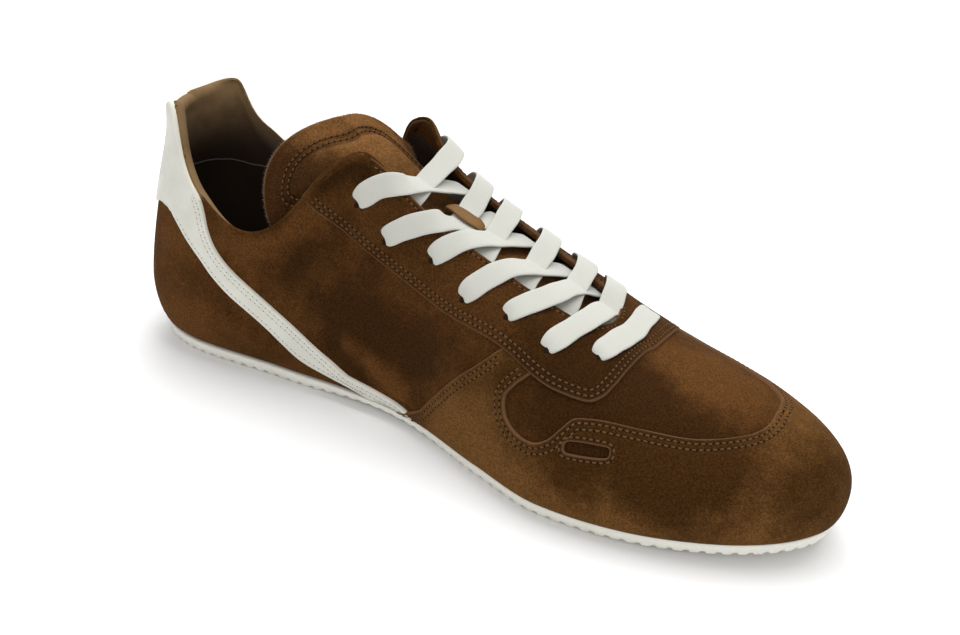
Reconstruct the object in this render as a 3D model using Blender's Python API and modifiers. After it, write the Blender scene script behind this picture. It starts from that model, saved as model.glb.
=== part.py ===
"""Low suede sneaker for the left foot, lasted upper on a thin rubber sole."""

import bmesh
import bpy
import numpy as np
from mathutils import Vector

# Frame: x runs from heel to toe, y to the outer side of the foot, z up, sizes in millimetres
MM = 0.001
LENGTH = 288.0
MIDDLE_X = 144.0
MIDDLE_Y = -7.32
WALL = 2.0
FIT = 0.3


def columns(names, rows):
    """Named columns of a table with a row per section."""
    return dict(zip(names.split(), np.array(rows, float).T))


# The last: its toe swings to the inner side and springs up from the floor
SWING, SWING_FROM = 16.0, 70.0
SPRING, SPRING_FROM = 5.8, 195.0
HEEL_ROUND, TOE_ROUND, ROUND_POWER = 37.0, 81.0, 2.2
TAB_BACK, TAB_ROUND = 15.0, 26.0
THROAT_TOP, THROAT_END, THROAT_ROUND = 105.0, 200.0, 9.0
TOE_BOX_FROM, TOE_BOX_FULL = 210.0, 255.0
RIDGE_END = 269.0
FEATHER_HEIGHT = 5.0
BULGE_SHARE = 0.3

# Half widths of the last at its widest line, by share of the length
PLAN = columns("along inner outer", [
    (0.00, 32.5, 33.0),
    (0.07, 32.5, 33.0),
    (0.15, 33.5, 34.5),
    (0.25, 31.0, 35.0),
    (0.36, 29.0, 35.5),
    (0.47, 31.5, 38.0),
    (0.58, 42.0, 44.0),
    (0.68, 49.2, 48.2),
    (0.78, 47.0, 47.5),
    (0.87, 43.4, 45.0),
    (0.94, 40.4, 41.0),
    (1.00, 37.0, 36.0),
])

# How far the feather edge tucks in under the widest line, and how far above it that line lies
TUCK = columns("along tuck bulge", [
    (0.00, 6.4, 21.0),
    (0.15, 6.4, 21.0),
    (0.32, 3.2, 8.5),
    (0.70, 2.6, 8.0),
    (1.00, 2.6, 8.5),
])

# Top line from the heel tab over collar and instep to the toe box; the throat is cut out of the instep
TOP_LINE = columns("x gap throat height bow inner_dome outer_dome", [
    (15, 22.5, 22.5, 98.5, 1.40, 0.05, 0.05),
    (23, 24.8, 24.8, 100.5, 1.40, 0.05, 0.05),
    (32, 28.0, 28.0, 81.5, 1.45, 0.10, 0.10),
    (45, 31.5, 31.5, 68.6, 1.60, 0.10, 0.10),
    (62, 32.8, 32.8, 61.8, 1.90, 0.15, 0.15),
    (80, 31.0, 31.0, 70.5, 2.00, 0.20, 0.20),
    (95, 25.0, 25.0, 91.0, 2.00, 0.30, 0.30),
    (105, 19.0, 19.0, 98.0, 2.00, 0.45, 0.45),
    (130, 13.0, 16.5, 84.6, 2.00, 0.70, 0.65),
    (160, 7.0, 16.5, 71.4, 2.00, 0.85, 0.75),
    (188, 2.0, 14.7, 59.6, 2.00, 0.95, 0.78),
    (200, 0.0, 12.0, 54.6, 2.00, 1.00, 0.78),
    (215, 0.0, 0.0, 49.0, 2.00, 1.00, 0.78),
    (235, 0.0, 0.0, 45.6, 2.00, 1.00, 0.80),
    (250, 0.0, 0.0, 43.6, 2.00, 1.00, 0.90),
    (262, 0.0, 0.0, 41.4, 2.00, 1.00, 1.00),
    (269, 0.0, 0.0, 39.8, 2.00, 1.00, 1.00),
    (288, 0.0, 0.0, 35.0, 2.00, 1.00, 1.00),
])

# Walking face of the sole: it lifts at the heel's back edge and under the arch
SOLE_UNDER = columns("x lift", [
    (0, 1.6),
    (14, 0.0),
    (82, 0.0),
    (118, 1.9),
    (158, 0.0),
    (215, 0.0),
    (288, 0.0),
])
SOLE_LEDGE, SOLE_TAPER = 1.4, 0.8
LUG_FROM, LUG_TO, LUG_PITCH = 17.0, 264.0, 5.4
LUG_GROOVE, LUG_DEPTH, LUG_REACH = 2.2, 1.0, 15.0
INSOLE_THICK, INSOLE_INSET = 3.0, 2.6

# Tongue crown from its sewn end under the vamp to its free end, with how its two edges wrap round
TONGUE_THICK = 3.2
LOBE_FROM, LOBE_BACK, LOBE_DROP = 0.72, 14.5, 5.0
TONGUE = columns("x y z inner_half inner_fall inner_back outer_half outer_fall outer_ahead", [
    (209, -7.8, 48.3, 12.0, 1.6, 0.0, 12.0, 2.4, 0.0),
    (196, -7.0, 51.2, 17.0, 3.5, 0.0, 16.0, 3.5, 0.0),
    (182, -5.6, 57.0, 21.0, 6.0, 0.0, 20.0, 6.5, 0.0),
    (160, -3.8, 65.0, 22.0, 9.0, 0.0, 21.0, 9.5, 0.0),
    (140, -2.4, 71.4, 20.5, 11.0, 1.0, 20.5, 11.0, 0.0),
    (122, -2.0, 80.0, 19.5, 15.0, 4.0, 19.0, 13.0, 2.0),
    (106, -2.4, 91.5, 19.5, 23.0, 8.0, 18.0, 15.0, 6.0),
    (94, -3.4, 99.0, 21.5, 32.0, 12.0, 18.0, 16.0, 12.0),
    (86, -4.0, 104.0, 24.0, 40.0, 13.0, 19.0, 15.0, 16.0),
])

# Lace rows from the toe end up: each hole's place on the last, and where the row's two runs cross
LACE_WIDE, LACE_THICK, LACE_CLEAR = 8.4, 1.5, 0.45
LACE_ROWS = columns("at up cross_x cross_z", [
    (207.2, 0.800, 204.0, 54.0),
    (190.4, 0.738, 192.0, 59.4),
    (172.8, 0.742, 179.0, 64.6),
    (154.4, 0.688, 164.0, 69.0),
    (138.4, 0.729, 149.0, 73.4),
    (118.4, 0.675, 133.0, 78.0),
    (105.2, 0.725, 117.0, 88.0),
])
BAR_BOW = 8.0
KEEPER_LONG, KEEPER_WIDE, KEEPER_THICK = 20.0, 8.0, 1.4
KEEPER_SLOPE, KEEPER_BOW = 0.45, 3.8


def smooth(x, table, at, name):
    """A column read between its rows along a smooth curve that doesn't overshoot."""
    xs, ys = table[at], table[name]
    x = np.clip(x, xs[0], xs[-1])
    step = np.diff(xs)
    rise = np.diff(ys) / step
    slope = np.empty_like(ys)
    slope[0], slope[-1] = rise[0], rise[-1]
    for i in range(1, len(ys) - 1):
        mean = (rise[i - 1] * step[i] + rise[i] * step[i - 1]) / (step[i - 1] + step[i])
        most = 3 * min(abs(rise[i - 1]), abs(rise[i]))
        turns = rise[i - 1] * rise[i] <= 0
        slope[i] = 0 if turns else np.sign(mean) * min(abs(mean), most)
    i = np.clip(np.searchsorted(xs, x) - 1, 0, len(xs) - 2)
    t = (x - xs[i]) / step[i]
    return ((2 * t**3 - 3 * t**2 + 1) * ys[i] + (t**3 - 2 * t**2 + t) * step[i] * slope[i]
            + (3 * t**2 - 2 * t**3) * ys[i + 1] + (t**3 - t**2) * step[i] * slope[i + 1])


def rounded(distance, reach):
    """Share of the full width at a distance from a rounded end."""
    r = np.clip(distance / reach, 0, 1)
    return np.clip(1 - (1 - r) ** ROUND_POWER, 0, 1) ** (1 / ROUND_POWER)


def centre(x):
    return -SWING * np.clip((x - SWING_FROM) / (LENGTH - SWING_FROM), 0, None) ** 1.6


def spring(x):
    return SPRING * np.clip((x - SPRING_FROM) / (LENGTH - SPRING_FROM), 0, 1) ** 1.8


def widest(share, side):
    """Plan of the widest line: side -1 is the inner side of the foot, +1 the outer."""
    x = share * LENGTH
    half = smooth(share, PLAN, "along", "inner" if side < 0 else "outer")
    half = half * rounded(x, HEEL_ROUND) * rounded(LENGTH - x, TOE_ROUND)
    return np.stack([x, centre(x) + side * half], -1)


def inward(share, side):
    """Direction in plan from the widest line towards the middle of the shoe."""
    run = widest(np.clip(share + 1e-4, 0, 1), side) - widest(np.clip(share - 1e-4, 0, 1), side)
    across = np.stack([run[..., 1], -run[..., 0]], -1) * side
    return across / np.maximum(np.linalg.norm(across, axis=-1, keepdims=True), 1e-12)


def feather(share, side, out=0.0):
    """Plan of the edge where the upper meets the sole, moved outwards by a distance."""
    tuck = smooth(share, TUCK, "along", "tuck")
    return widest(share, side) + inward(share, side) * (tuck - out)[..., None]


def top_x(share):
    return TAB_BACK + (RIDGE_END - TAB_BACK) * share


def shell(share, up, side):
    """Outer face of the upper: share runs from heel to toe, up from the feather edge to the top line."""
    share, up = np.broadcast_arrays(np.asarray(share, float), np.asarray(up, float))
    wide = widest(share, side)
    foot = FEATHER_HEIGHT + spring(wide[..., 0])
    belly = foot + smooth(share, TUCK, "along", "bulge")
    x = top_x(share)
    gap = smooth(x, TOP_LINE, "x", "gap") * rounded(x - TAB_BACK, TAB_ROUND)
    top = np.stack([x, centre(x) + side * gap], -1)
    dome = smooth(x, TOP_LINE, "x", "inner_dome" if side < 0 else "outer_dome")
    bow = smooth(x, TOP_LINE, "x", "bow")
    r = np.clip(up / BULGE_SHARE, 0, 1)
    curl = 0.6 * (1 - np.sqrt(1 - (1 - r) ** 2)) + 0.4 * (1 - r) ** 2
    low = wide + (feather(share, side) - wide) * curl[..., None]
    q = np.sin(np.clip((up - BULGE_SHARE) / (1 - BULGE_SHARE), 0, 1) * np.pi / 2)
    arch = np.clip(1 - q**2.2, 0, 1) ** (1 / 2.2)
    lean = 1 - ((1 - dome) * (1 - q**bow) + dome * arch)
    high = wide + (top - wide) * lean[..., None]
    below = up <= BULGE_SHARE
    plan = np.where(below[..., None], low, high)
    toe = np.clip((x - TOE_BOX_FROM) / (TOE_BOX_FULL - TOE_BOX_FROM), 0, 1)
    toe = toe * toe * (3 - 2 * toe)
    crown = smooth(x + (plan[..., 0] - x) * toe, TOP_LINE, "x", "height")
    z = np.where(below, foot + (belly - foot) * r, belly + (crown - belly) * q)
    return np.concatenate([plan, z[..., None]], -1)


def edge_up(share, side):
    """Share of the wall's height where the upper ends: at the top line, or where the throat cuts it."""
    if not THROAT_TOP < top_x(share) < THROAT_END:
        return 1.0
    up = np.linspace(BULGE_SHARE, 1, 1401)
    x, y, _ = shell(share, up, side).T
    opening = smooth(x, TOP_LINE, "x", "throat") * rounded(THROAT_END - x, THROAT_ROUND)
    return up[np.argmax(np.abs(y - centre(x)) <= opening)]


def shell_out(share, up, side):
    """Outward direction of the upper's face."""
    e = 2e-3
    along = shell(np.clip(share + e, 0, 1), up, side) - shell(np.clip(share - e, 0, 1), up, side)
    rise = shell(share, np.clip(up + e, 0, 1), side) - shell(share, np.clip(up - e, 0, 1), side)
    out = np.cross(along, rise) * -side
    return out / np.maximum(np.linalg.norm(out, axis=-1, keepdims=True), 1e-12)


def placed(points):
    """Points in metres about the shoe's own middle."""
    return (np.asarray(points, float) - (MIDDLE_X, MIDDLE_Y, 0)) * MM


def material(name, colour, roughness):
    mat = bpy.data.materials.new(name)
    mat.use_nodes = True
    shader = mat.node_tree.nodes["Principled BSDF"]
    shader.inputs["Base Color"].default_value = (*colour, 1)
    shader.inputs["Roughness"].default_value = roughness
    shader.inputs["Metallic"].default_value = 0.0
    return mat


def new_object(name, mesh, mat, collection):
    obj = bpy.data.objects.new(name, mesh)
    collection.objects.link(obj)
    if mat:
        mesh.materials.append(mat)
    return obj


def loft(name, rings, mat, collection, closed_rings=False, caps=False, soft=True):
    """A mesh through rings of equal count, welded where they meet."""
    bm = bmesh.new()
    rows = [[bm.verts.new(Vector(p)) for p in placed(ring)] for ring in rings]
    count = len(rows[0])
    for a, b in zip(rows, rows[1:]):
        for i in range(count if closed_rings else count - 1):
            j = (i + 1) % count
            bm.faces.new((a[i], a[j], b[j], b[i]))
    if caps:
        bm.faces.new(rows[0][::-1])
        bm.faces.new(rows[-1])
    bmesh.ops.remove_doubles(bm, verts=bm.verts, dist=0.00002)
    bmesh.ops.dissolve_degenerate(bm, edges=bm.edges, dist=0.00001)
    bmesh.ops.recalc_face_normals(bm, faces=bm.faces)
    for face in bm.faces:
        face.smooth = soft
    mesh = bpy.data.meshes.new(name)
    bm.to_mesh(mesh)
    bm.free()
    return new_object(name, mesh, mat, collection)


def boolean(obj, cutter, operation):
    mod = obj.modifiers.new(operation.title(), "BOOLEAN")
    mod.operation = operation
    mod.solver = "EXACT"
    mod.object = cutter


def eased(count):
    return (1 - np.cos(np.pi * np.linspace(0, 1, count))) / 2


def make_upper(mat, collection):
    throat_steps = THROAT_END - THROAT_ROUND * np.array([0, 0.04, 0.14, 0.3, 0.52, 0.8])
    throat = (throat_steps - TAB_BACK) / (RIDGE_END - TAB_BACK)
    stations = [s for s in eased(42) if np.abs(throat - s).min() > 0.006]
    stations = np.sort(np.concatenate([stations, throat]))
    low = np.array([0, 0.03, 0.09, 0.18])
    high = np.linspace(0, 1, 9)

    def side_rings(side):
        rings = []
        for share in stations:
            up = np.concatenate([low, BULGE_SHARE + (edge_up(share, side) - BULGE_SHARE) * high])
            rings.append(shell(share, up, side))
        return rings

    inner, outer = side_rings(-1), side_rings(1)
    for end in (0, -1):
        middle = (inner[end] + outer[end]) / 2
        inner[end], outer[end] = middle, middle
    rings = list(inner) + list(outer[-2::-1])
    obj = loft("upper", rings, mat, collection)
    mesh = obj.data
    bm = bmesh.new()
    bm.from_mesh(mesh)
    probe = min(bm.faces, key=lambda f: (f.calc_center_median() - Vector(placed((150, -60, 25)))).length)
    if probe.normal.y > 0:
        bmesh.ops.reverse_faces(bm, faces=bm.faces)
    bm.to_mesh(mesh)
    bm.free()
    wall = obj.modifiers.new("Wall", "SOLIDIFY")
    wall.thickness = WALL * MM
    wall.offset = -1
    wall.use_even_offset = True
    wall.use_rim = True
    return obj


def sole_rings(out_top, out_bottom, top, bottom):
    """Rings across the shoe, each running over the top from inner to outer edge and back underneath."""
    across = np.array([0, 0.22, 0.5, 0.78, 1.0])
    rings = []
    for share in 0.004 + 0.992 * eased(46):
        s = np.array(share)
        upper_edges = [feather(s, side, out_top) for side in (-1, 1)]
        lower_edges = [feather(s, side, out_bottom) for side in (-1, 1)]
        upper_row = [upper_edges[0] + (upper_edges[1] - upper_edges[0]) * c for c in across]
        lower_row = [lower_edges[0] + (lower_edges[1] - lower_edges[0]) * c for c in across[::-1]]
        ring = [(*p, top(p[0])) for p in upper_row] + [(*p, bottom(p[0])) for p in lower_row]
        rings.append(ring)
    return rings


def sole_top(x):
    return FEATHER_HEIGHT - FIT + spring(x)


def sole_under(x):
    return smooth(x, SOLE_UNDER, "x", "lift") + spring(x)


def make_outsole(mat, collection, helpers):
    obj = loft("outsole", sole_rings(SOLE_LEDGE, SOLE_LEDGE - SOLE_TAPER, sole_top, sole_under),
               mat, collection, closed_rings=True, caps=True, soft=False)
    bm = bmesh.new()
    for x in np.arange(LUG_FROM, LUG_TO, LUG_PITCH):
        for side in (-1, 1):
            edge = widest(np.array(x / LENGTH), side)[1]
            half = abs(edge - centre(x))
            ends = sorted((edge + side * 4, edge - side * min(LUG_REACH, half * 0.75)))
            ahead = x + LUG_GROOVE / 2
            behind = x - LUG_GROOVE / 2
            corners = []
            for y in ends:
                for cx in (behind, ahead):
                    corners.append((cx, y, sole_under(cx) - 3))
                    corners.append((cx, y, sole_under(cx) + LUG_DEPTH))
            v = [bm.verts.new(Vector(p)) for p in placed(corners)]
            for face in ("0132", "4675", "0451", "2376", "0264", "1573"):
                bm.faces.new([v[int(i)] for i in face])
    bmesh.ops.recalc_face_normals(bm, faces=bm.faces)
    mesh = bpy.data.meshes.new("lug_grooves")
    bm.to_mesh(mesh)
    bm.free()
    cutter = new_object("lug_grooves", mesh, None, helpers)
    boolean(obj, cutter, "DIFFERENCE")
    return obj


def insole_under(x):
    return sole_top(x) + FIT


def insole_top(x):
    return insole_under(x) + INSOLE_THICK


def make_insole(mat, collection):
    rings = sole_rings(-INSOLE_INSET, -INSOLE_INSET, insole_top, insole_under)
    return loft("insole", rings, mat, collection, closed_rings=True, caps=True, soft=False)


def tongue_point(along, across):
    """Face of the tongue: along from its sewn to its free end, across from -1 inner to +1 outer edge."""
    at = {"row": np.linspace(0, 1, len(TONGUE["x"])), **TONGUE}

    def read(name):
        return smooth(along, at, "row", name)

    inner = across < 0
    reach = np.abs(across)
    x = read("x") + np.where(inner, -read("inner_back"), read("outer_ahead")) * reach**2
    y = read("y") + np.where(inner, -read("inner_half"), read("outer_half")) * np.sin(reach * np.pi / 2)
    z = read("z") - np.where(inner, read("inner_fall"), read("outer_fall")) * reach**2.2
    grown = np.clip((along - LOBE_FROM) / (1 - LOBE_FROM), 0, 1)
    lobe = np.where(inner, np.sin(np.pi * reach) ** 0.7, 0) * grown**2 * (3 - 2 * grown)
    return np.stack(np.broadcast_arrays(x - LOBE_BACK * lobe, y, z - LOBE_DROP * lobe), -1)


def make_tongue(mat, collection):
    across = np.linspace(-1, 1, 15)
    rings = [tongue_point(np.array(a), across) for a in np.linspace(0, 1, 23)]
    obj = loft("tongue", rings, mat, collection)
    bm = bmesh.new()
    bm.from_mesh(obj.data)
    if sum(f.normal.z for f in bm.faces) < 0:
        bmesh.ops.reverse_faces(bm, faces=bm.faces)
    bm.to_mesh(obj.data)
    bm.free()
    wall = obj.modifiers.new("Thickness", "SOLIDIFY")
    wall.thickness = TONGUE_THICK * MM
    wall.offset = -1
    wall.use_even_offset = True
    return obj


def ribbon(name, path, faces_up, wide, thick, mat, collection):
    """A flat band along a path: its face looks along faces_up at each point."""
    path, faces_up = np.array(path, float), np.array(faces_up, float)
    run = np.gradient(path, axis=0)
    run /= np.linalg.norm(run, axis=1, keepdims=True)
    side = np.cross(run, faces_up)
    side /= np.linalg.norm(side, axis=1, keepdims=True)
    up = np.cross(side, run)
    section = [(-0.5, -0.18), (-0.44, -0.5), (0.44, -0.5), (0.5, -0.18),
               (0.5, 0.18), (0.44, 0.5), (-0.44, 0.5), (-0.5, 0.18)]
    rings = [[p + s * (a * wide) + u * (b * thick) for a, b in section] for p, s, u in zip(path, side, up)]
    return loft(name, rings, mat, collection, closed_rings=True, caps=True)


def lace_bar(row):
    """The first row lies straight across in front of the throat."""
    across = np.linspace(-1, 1, 15)
    path, faces_up = [], []
    for k in across:
        share = np.array((LACE_ROWS["at"][row] + BAR_BOW * (1 - k * k)) / LENGTH)
        up = 1 - (1 - LACE_ROWS["up"][row]) * abs(k)
        side = -1 if k < 0 else 1
        out = shell_out(share, np.array(min(up, 0.99)), side)
        path.append(shell(share, up, side) + out * (FIT + LACE_THICK / 2))
        faces_up.append(out)
    return path, faces_up


def lace_run(row, side, lower):
    """One run of a lace row: from its hole up over the facing, across the throat to the other side."""
    at, hole = LACE_ROWS["at"][row], LACE_ROWS["up"][row]
    cross_x = LACE_ROWS["cross_x"][row]
    cross = np.array((cross_x, centre(cross_x), LACE_ROWS["cross_z"][row] - LACE_THICK / 2 - lower))
    at_edge = min(at + 0.9 * (cross_x - at), 201.0)
    steps = np.linspace(0, 1, 7)
    shares = (at + (at_edge - at) * steps) / LENGTH
    ups = hole + (edge_up(at_edge / LENGTH, side) - hole) * steps
    out = shell_out(shares, ups, side)
    on_facing = shell(shares, ups, side) + out * (LACE_CLEAR + LACE_THICK / 2 + 1.3 * steps)[:, None]
    beyond = cross + (cross - on_facing[-1]) * 0.4
    beyond[2] = cross[2] - 1.0
    reach = cross - on_facing[-1]
    past_edge = on_facing[-1] + reach * np.array((0.24, 0.24, 0.04))
    half_way = on_facing[-1] + reach * np.array((0.56, 0.56, 0.76))
    up = np.array((0.45, 0, 1.0))
    return list(on_facing) + [past_edge, half_way, cross, beyond], list(out) + [up] * 4


def make_lace(mat, collection, helpers):
    ribbon("lace_1", *lace_bar(0), LACE_WIDE, LACE_THICK, mat, collection)
    for row in range(1, len(LACE_ROWS["at"])):
        name = f"lace_{row + 1}"
        inner_run = lace_run(row, -1, 0.0)
        outer_run = lace_run(row, 1, LACE_THICK - 0.4)
        over = ribbon(name, *inner_run, LACE_WIDE, LACE_THICK, mat, collection)
        under = ribbon(name + "_under", *outer_run, LACE_WIDE, LACE_THICK, None, helpers)
        boolean(over, under, "UNION")


def make_keeper(mat, collection):
    """Loop of leather sewn to the tongue at both ends, bowed up over the lace that passes under it."""
    row = 5
    x = LACE_ROWS["cross_x"][row]
    middle = np.array((x, centre(x), LACE_ROWS["cross_z"][row] + FIT + KEEPER_THICK / 2 + 1.1))
    along = np.array((1.0, 0, -KEEPER_SLOPE))
    along /= np.linalg.norm(along)
    up = np.array((-along[2], 0, along[0]))
    path = []
    for step in np.linspace(-1, 1, 11):
        path.append(middle + along * (step * KEEPER_LONG / 2) - up * (KEEPER_BOW * abs(step) ** 4))
    ribbon("tongue_keeper", path, [up] * 11, KEEPER_WIDE, KEEPER_THICK, mat, collection)


def main():
    for obj in list(bpy.data.objects):
        bpy.data.objects.remove(obj, do_unlink=True)
    scene = bpy.context.scene
    shoe = bpy.data.collections.new("suede_sneaker")
    helpers = bpy.data.collections.new("cutters")
    scene.collection.children.link(shoe)
    scene.collection.children.link(helpers)

    suede = material("suede", (0.13, 0.055, 0.022), 0.95)
    tongue_suede = material("tongue_suede", (0.12, 0.05, 0.02), 0.95)
    rubber = material("sole_rubber", (0.72, 0.70, 0.64), 0.6)
    board = material("sock_lining", (0.05, 0.032, 0.022), 0.85)
    cotton = material("lace_cotton", (0.78, 0.78, 0.73), 0.9)
    tan = material("keeper_leather", (0.28, 0.14, 0.05), 0.6)

    make_outsole(rubber, shoe, helpers)
    make_insole(board, shoe)
    make_upper(suede, shoe)
    make_tongue(tongue_suede, shoe)
    make_lace(cotton, shoe, helpers)
    make_keeper(tan, shoe)

    for obj in helpers.objects:
        obj.hide_render = True
        obj.display_type = "WIRE"


main()
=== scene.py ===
"""Looks of a low suede sneaker for the left foot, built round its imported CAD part."""

import math

import bpy
import numpy as np
from mathutils import Matrix, geometry, kdtree


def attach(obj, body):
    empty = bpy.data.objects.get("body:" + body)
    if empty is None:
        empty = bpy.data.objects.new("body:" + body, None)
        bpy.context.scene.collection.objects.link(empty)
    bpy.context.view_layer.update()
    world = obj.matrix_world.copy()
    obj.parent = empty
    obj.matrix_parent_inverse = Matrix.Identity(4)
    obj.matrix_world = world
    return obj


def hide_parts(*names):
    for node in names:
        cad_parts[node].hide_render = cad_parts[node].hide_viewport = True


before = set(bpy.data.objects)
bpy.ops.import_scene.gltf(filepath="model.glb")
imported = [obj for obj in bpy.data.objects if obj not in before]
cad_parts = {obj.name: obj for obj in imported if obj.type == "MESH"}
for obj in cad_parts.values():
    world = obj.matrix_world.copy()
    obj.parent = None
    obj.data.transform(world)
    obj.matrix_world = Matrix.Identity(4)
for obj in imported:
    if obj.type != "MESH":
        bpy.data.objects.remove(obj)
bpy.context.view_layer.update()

# Frame: x runs from heel to toe, y to the outer side of the foot, z up, sizes in millimetres
MM = 0.001
LENGTH = 288.0
MIDDLE_X, MIDDLE_Y = 144.0, -7.32
INNER, OUTER = -1, 1


def columns(names, rows):
    """Named columns of a table with a row per section."""
    return dict(zip(names.split(), np.array(rows, float).T))


# The last, as in the CAD part
SWING, SWING_FROM, SWING_POWER = 16.0, 70.0, 1.6
SPRING, SPRING_FROM, SPRING_POWER = 5.8, 195.0, 1.8
HEEL_ROUND, TOE_ROUND, ROUND_POWER = 37.0, 81.0, 2.2
TAB_BACK, TAB_ROUND = 15.0, 26.0
THROAT_TOP, THROAT_END, THROAT_ROUND = 105.0, 200.0, 9.0
TOE_BOX_FROM, TOE_BOX_FULL = 210.0, 255.0
RIDGE_END = 269.0
FEATHER_HEIGHT = 5.0
BULGE_SHARE, CURL_ROUND, DOME_POWER = 0.3, 0.6, 2.2

PLAN = columns("along inner outer", [
    (0.00, 32.5, 33.0),
    (0.07, 32.5, 33.0),
    (0.15, 33.5, 34.5),
    (0.25, 31.0, 35.0),
    (0.36, 29.0, 35.5),
    (0.47, 31.5, 38.0),
    (0.58, 42.0, 44.0),
    (0.68, 49.2, 48.2),
    (0.78, 47.0, 47.5),
    (0.87, 43.4, 45.0),
    (0.94, 40.4, 41.0),
    (1.00, 37.0, 36.0),
])
TUCK = columns("along tuck bulge", [
    (0.00, 6.4, 21.0),
    (0.15, 6.4, 21.0),
    (0.32, 3.2, 8.5),
    (0.70, 2.6, 8.0),
    (1.00, 2.6, 8.5),
])
TOP_LINE = columns("x gap throat height bow inner_dome outer_dome", [
    (15, 22.5, 22.5, 98.5, 1.40, 0.05, 0.05),
    (23, 24.8, 24.8, 100.5, 1.40, 0.05, 0.05),
    (32, 28.0, 28.0, 81.5, 1.45, 0.10, 0.10),
    (45, 31.5, 31.5, 68.6, 1.60, 0.10, 0.10),
    (62, 32.8, 32.8, 61.8, 1.90, 0.15, 0.15),
    (80, 31.0, 31.0, 70.5, 2.00, 0.20, 0.20),
    (95, 25.0, 25.0, 91.0, 2.00, 0.30, 0.30),
    (105, 19.0, 19.0, 98.0, 2.00, 0.45, 0.45),
    (130, 13.0, 16.5, 84.6, 2.00, 0.70, 0.65),
    (160, 7.0, 16.5, 71.4, 2.00, 0.85, 0.75),
    (188, 2.0, 14.7, 59.6, 2.00, 0.95, 0.78),
    (200, 0.0, 12.0, 54.6, 2.00, 1.00, 0.78),
    (215, 0.0, 0.0, 49.0, 2.00, 1.00, 0.78),
    (235, 0.0, 0.0, 45.6, 2.00, 1.00, 0.80),
    (250, 0.0, 0.0, 43.6, 2.00, 1.00, 0.90),
    (262, 0.0, 0.0, 41.4, 2.00, 1.00, 1.00),
    (269, 0.0, 0.0, 39.8, 2.00, 1.00, 1.00),
    (288, 0.0, 0.0, 35.0, 2.00, 1.00, 1.00),
])
SOLE_UNDER = columns("x lift", [
    (0, 1.6), (14, 0.0), (82, 0.0), (118, 1.9), (158, 0.0), (215, 0.0), (288, 0.0),
])
SOLE_LEDGE, SOLE_TAPER, SOLE_FIT = 0.5, 0.8, 0.3
TONGUE = columns("x y z inner_half inner_fall inner_back outer_half outer_fall outer_ahead", [
    (209, -7.8, 48.3, 12.0, 1.6, 0.0, 12.0, 2.4, 0.0),
    (196, -7.0, 51.2, 17.0, 3.5, 0.0, 16.0, 3.5, 0.0),
    (182, -5.6, 57.0, 21.0, 6.0, 0.0, 20.0, 6.5, 0.0),
    (160, -3.8, 65.0, 22.0, 9.0, 0.0, 21.0, 9.5, 0.0),
    (140, -2.4, 71.4, 20.5, 11.0, 1.0, 20.5, 11.0, 0.0),
    (122, -2.0, 80.0, 19.5, 15.0, 4.0, 19.0, 13.0, 2.0),
    (106, -2.4, 91.5, 19.5, 23.0, 8.0, 19.5, 15.0, 7.5),
    (94, -3.4, 99.0, 21.5, 32.0, 12.0, 20.5, 16.0, 14.0),
    (86, -4.0, 104.0, 24.0, 40.0, 13.0, 21.5, 15.0, 18.0),
])

# Rows of the lace from the front bar up: the inner hole, how far ahead the outer hole is, where the runs
# pass the throat's edges, and how far the outer run stands off its edge
LACE_ROWS = columns("at up far near_over far_under far_over stand", [
    (207.2, 0.800, 0.0, 0.0, 0.0, 0.0, 0.0),
    (190.4, 0.738, 1.0, 200.0, 204.5, 199.5, 3.2),
    (172.8, 0.742, 3.5, 184.0, 193.5, 185.5, 3.2),
    (154.4, 0.688, 3.5, 166.5, 181.5, 168.5, 3.2),
    (138.4, 0.729, 3.5, 148.5, 164.0, 150.0, 3.3),
    (118.4, 0.675, 3.5, 137.0, 149.0, 135.5, 4.0),
    (105.2, 0.725, 3.5, 120.0, 133.0, 119.5, 4.8),
])
LACE_CROSSINGS = columns("x z", [
    (120.5, 84.6), (138.5, 75.0), (151.6, 72.2), (169.6, 67.0), (185.7, 62.1), (193.3, 58.6),
    (204.4, 52.6),
])

# Layers of the upper, measured outwards from the last
BASE_LIFT, OVERLAY_THICK, STRAP_THICK = -0.5, 1.25, 1.1
LINING_LIFT = -2.9

# Cut lines of the layers on the last: place along it and share of the wall's height
FACING_SIDE = [
    (81.2, 1.0), (85.6, 0.792), (89.6, 0.721), (96.4, 0.655), (108.4, 0.608), (126.4, 0.602),
    (145.2, 0.598), (172.8, 0.634), (196.8, 0.630),
]
FACING_EDGE = {
    INNER: columns("at up", FACING_SIDE + [
        (204.8, 0.644), (209.4, 0.660), (213.2, 0.698), (216.4, 0.760), (219.2, 0.832),
        (222.4, 0.910), (225.6, 0.975), (227.8, 1.0),
    ]),
    OUTER: columns("at up", FACING_SIDE + [
        (208.0, 0.630), (215.0, 0.640), (219.6, 0.690), (223.2, 0.796), (225.2, 0.867),
        (226.8, 0.940), (227.8, 1.0),
    ]),
}
WING_SEAM = columns("at up", [
    (127.0, 0.0), (134.4, 0.142), (145.2, 0.345), (156.8, 0.458), (166.4, 0.550),
    (175.5, 0.655),
])
TOE_SEAM = columns("at up", [
    (188.6, 0.655), (186.0, 0.617), (182.0, 0.567), (178.9, 0.505), (180.4, 0.467),
    (187.2, 0.438), (193.2, 0.446), (197.2, 0.475), (201.2, 0.529), (205.2, 0.583),
    (210.4, 0.608), (227.2, 0.655), (246.8, 0.692), (256.8, 0.738), (265.6, 0.800),
    (272.4, 0.890), (275.4, 0.950), (277.0, 0.980), (278.4, 1.0),
])
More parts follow.
